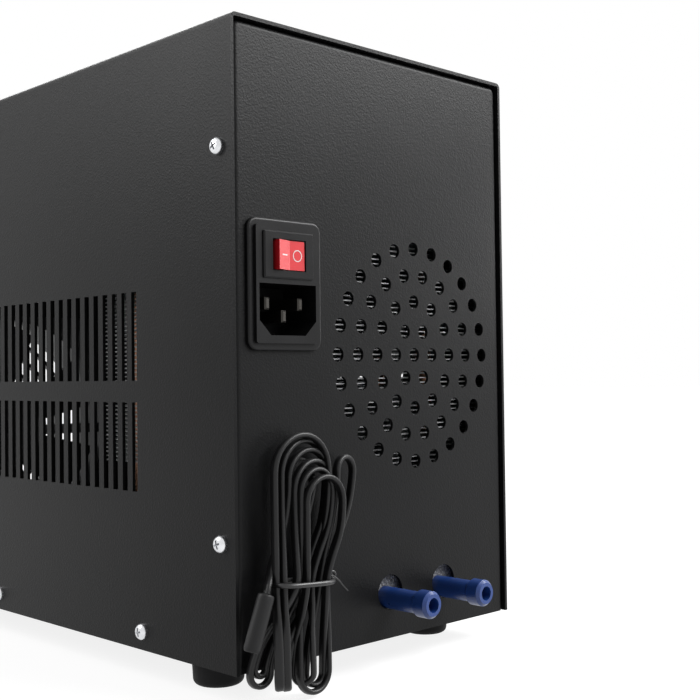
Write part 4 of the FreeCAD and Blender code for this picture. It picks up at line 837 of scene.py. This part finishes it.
def make_tie():
    """A covered wire round the hank, its ends twisted at the right and one left long."""
    middle = spot(*TIE_MIDDLE)
    half_x, half_y = [half * MM for half in TIE_HALF]
    points = []
    for step in range(TIE_STEPS + 1):
        angle = TIE_START + TIE_SWEEP * step / TIE_STEPS
        x = squared(math.cos(angle), TIE_FLATNESS) * half_x
        y = squared(math.sin(angle), TIE_FLATNESS) * half_y
        sag = -TIE_SAG * math.sin(math.pi * step / TIE_STEPS)
        tilt = -x / half_x * TIE_TILT / 2 * MM
        points.append(middle + Vector((-x, -y, sag + tilt)))
    knot = points[-1] + Vector(KNOT_OFFSET) * MM
    for step in range(TWIST_STEPS):
        angle = 2 * math.pi * step / 6
        out = Vector(TWIST_DRIFT) * step * MM
        around = Vector((math.cos(angle), 0, math.sin(angle)))
        points.append(knot + out + around * TWIST_RADIUS * MM)
    points += [knot + Vector(place) * MM for place in FREE_END]
    line = smooth_line("tie_route", points, 8)
    wide = [Vector((0.1, 0.2, 1))] * len(line)
    radii = np.interp(np.linspace(0, 1, len(line)), TIE_SHARES, TIE_RADII)
    tie = sweep("hank_tie", line, round_section(1.0, TIE_SEGMENTS), wide, "tie")
    for number, point in enumerate(line):
        for step in range(TIE_SEGMENTS):
            vertex = tie.data.vertices[number * TIE_SEGMENTS + step]
            vertex.co = point + (vertex.co - point).normalized() * radii[number] * MM
    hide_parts("cord_tie")
    return tie


# Stage: floor, lamps and camera

# Levels of white: one for what is looked at, a lower one for the light that scatters.
WHITE = (1, 1, 1, 1)
WORLD_SEEN = 1.0
WORLD_SCATTERED = 0.24
FLOOR_SCATTERED = (0.42, 0.42, 0.42)
FLOOR_SEEN = (0.24, 0.24, 0.24)
FLOOR_REACH = 6.0

# The floor's own white near the part and away from it, and where it changes.
PAPER_LEVELS = (0.85, 1.0)
PAPER_RADII = (0.35, 1.1)

# Name, place, point aimed at, size and power of each lamp.
LAMPS = [
    ("lamp_rear", (-0.46, 0.62, 0.62), (0, 0.14, 0.14), (0.9, 0.42), 12.5),
    ("lamp_side", (0.56, -0.36, 0.62), (0.067, -0.03, 0.14), (0.42, 0.7), 4.8),
    ("lamp_front", (-0.5, -1.1, 0.8), (0, 0, 0.1), (0.8, 0.6), 8.0),
    ("lamp_glint", (-0.5, 0.36, 0.2), (0.046, 0.14, 0.14), (0.08, 0.12), 0.36),
]


def seen_plainly(tree):
    """One for rays that come from the camera, a mirror or a pane, and none for scattered light."""
    path = tree.nodes.new("ShaderNodeLightPath")
    total = path.outputs["Is Camera Ray"]
    for kind in ("Is Glossy Ray", "Is Transmission Ray"):
        join = tree.nodes.new("ShaderNodeMath")
        join.operation = "MAXIMUM"
        tree.links.new(total, join.inputs[0])
        tree.links.new(path.outputs[kind], join.inputs[1])
        total = join.outputs[0]
    return total


def make_floor():
    mesh = bpy.data.meshes.new("floor")
    signs = ((-1, -1), (1, -1), (1, 1), (-1, 1))
    corners = [(x * FLOOR_REACH, y * FLOOR_REACH, 0) for x, y in signs]
    mesh.from_pydata(corners, [], [(0, 1, 2, 3)])
    floor = place_object("floor", mesh)
    n = Nodes("floor_white")
    seen = seen_plainly(n.tree)
    n.use("Base Color", n.tint(seen, FLOOR_SCATTERED, FLOOR_SEEN, 0.0, 1.0))
    n.set(Roughness=0.9, Specular_IOR_Level=0.0)
    far = n.add("ShaderNodeVectorMath", operation="LENGTH")
    n.link(n.place, far.inputs[0])
    paper = n.spread(far.outputs["Value"], *PAPER_LEVELS, *PAPER_RADII)
    strength = n.add("ShaderNodeMath", operation="MULTIPLY")
    n.link(paper, strength.inputs[0])
    n.link(seen, strength.inputs[1])
    n.set(Emission_Color=WHITE)
    n.use("Emission Strength", strength.outputs[0])
    mesh.materials.append(n.material)


def make_world():
    world = bpy.data.worlds.new("studio")
    bpy.context.scene.world = world
    world.use_nodes = True
    tree = world.node_tree
    tree.nodes.clear()
    mix = tree.nodes.new("ShaderNodeMixShader")
    output = tree.nodes.new("ShaderNodeOutputWorld")
    tree.links.new(seen_plainly(tree), mix.inputs[0])
    for socket, strength in zip(mix.inputs[1:], (WORLD_SCATTERED, WORLD_SEEN)):
        background = tree.nodes.new("ShaderNodeBackground")
        background.inputs["Color"].default_value = WHITE
        background.inputs["Strength"].default_value = strength
        tree.links.new(background.outputs[0], socket)
    tree.links.new(mix.outputs[0], output.inputs["Surface"])


def make_lamps():
    for name, place, target, size, power in LAMPS:
        data = bpy.data.lights.new(name, "AREA")
        data.shape = "RECTANGLE"
        data.size, data.size_y = size
        data.energy = power
        lamp = place_object(name, data)
        lamp.location = place
        aim = Vector(target) - Vector(place)
        lamp.rotation_euler = aim.to_track_quat("-Z", "Y").to_euler()


# Camera solved from the photograph: place in millimetres from the cabinet's rear lower centre,
# turns in degrees, and focal length in pixels of a frame FRAME_SIDE wide.
CAMERA_PLACE = (285.0, 272.9, 91.8)
CAMERA_YAW = 44.50
CAMERA_PITCH = 1.26
CAMERA_ROLL = -0.70
CAMERA_FOCAL = 1132.1
FRAME_SIDE = 700
SENSOR = 36.0


def make_camera():
    data = bpy.data.cameras.new("camera")
    data.sensor_width = SENSOR
    data.lens = CAMERA_FOCAL / FRAME_SIDE * SENSOR
    data.clip_start = 0.01
    camera = place_object("camera", data)
    yaw, pitch, roll = [math.radians(a) for a in (CAMERA_YAW, CAMERA_PITCH, CAMERA_ROLL)]
    ahead = Vector((
        -math.sin(yaw) * math.cos(pitch),
        -math.cos(yaw) * math.cos(pitch),
        math.sin(pitch),
    ))
    level = ahead.cross(Vector((0, 0, 1))).normalized()
    upright = level.cross(ahead)
    right = level * math.cos(roll) + upright * math.sin(roll)
    up = upright * math.cos(roll) - level * math.sin(roll)
    turn = Matrix((right, up, -ahead)).transposed().to_4x4()
    camera.matrix_world = Matrix.Translation(spot(*CAMERA_PLACE)) @ turn
    bpy.context.scene.camera = camera


make_camera()
make_cord()
dress_nodes()
make_cover_screws()
make_fan_screws()
make_rocker_marks()
make_floor()
make_world()
make_lamps()

bpy.context.scene.view_settings.view_transform = "Standard"
bpy.context.view_layer.update()
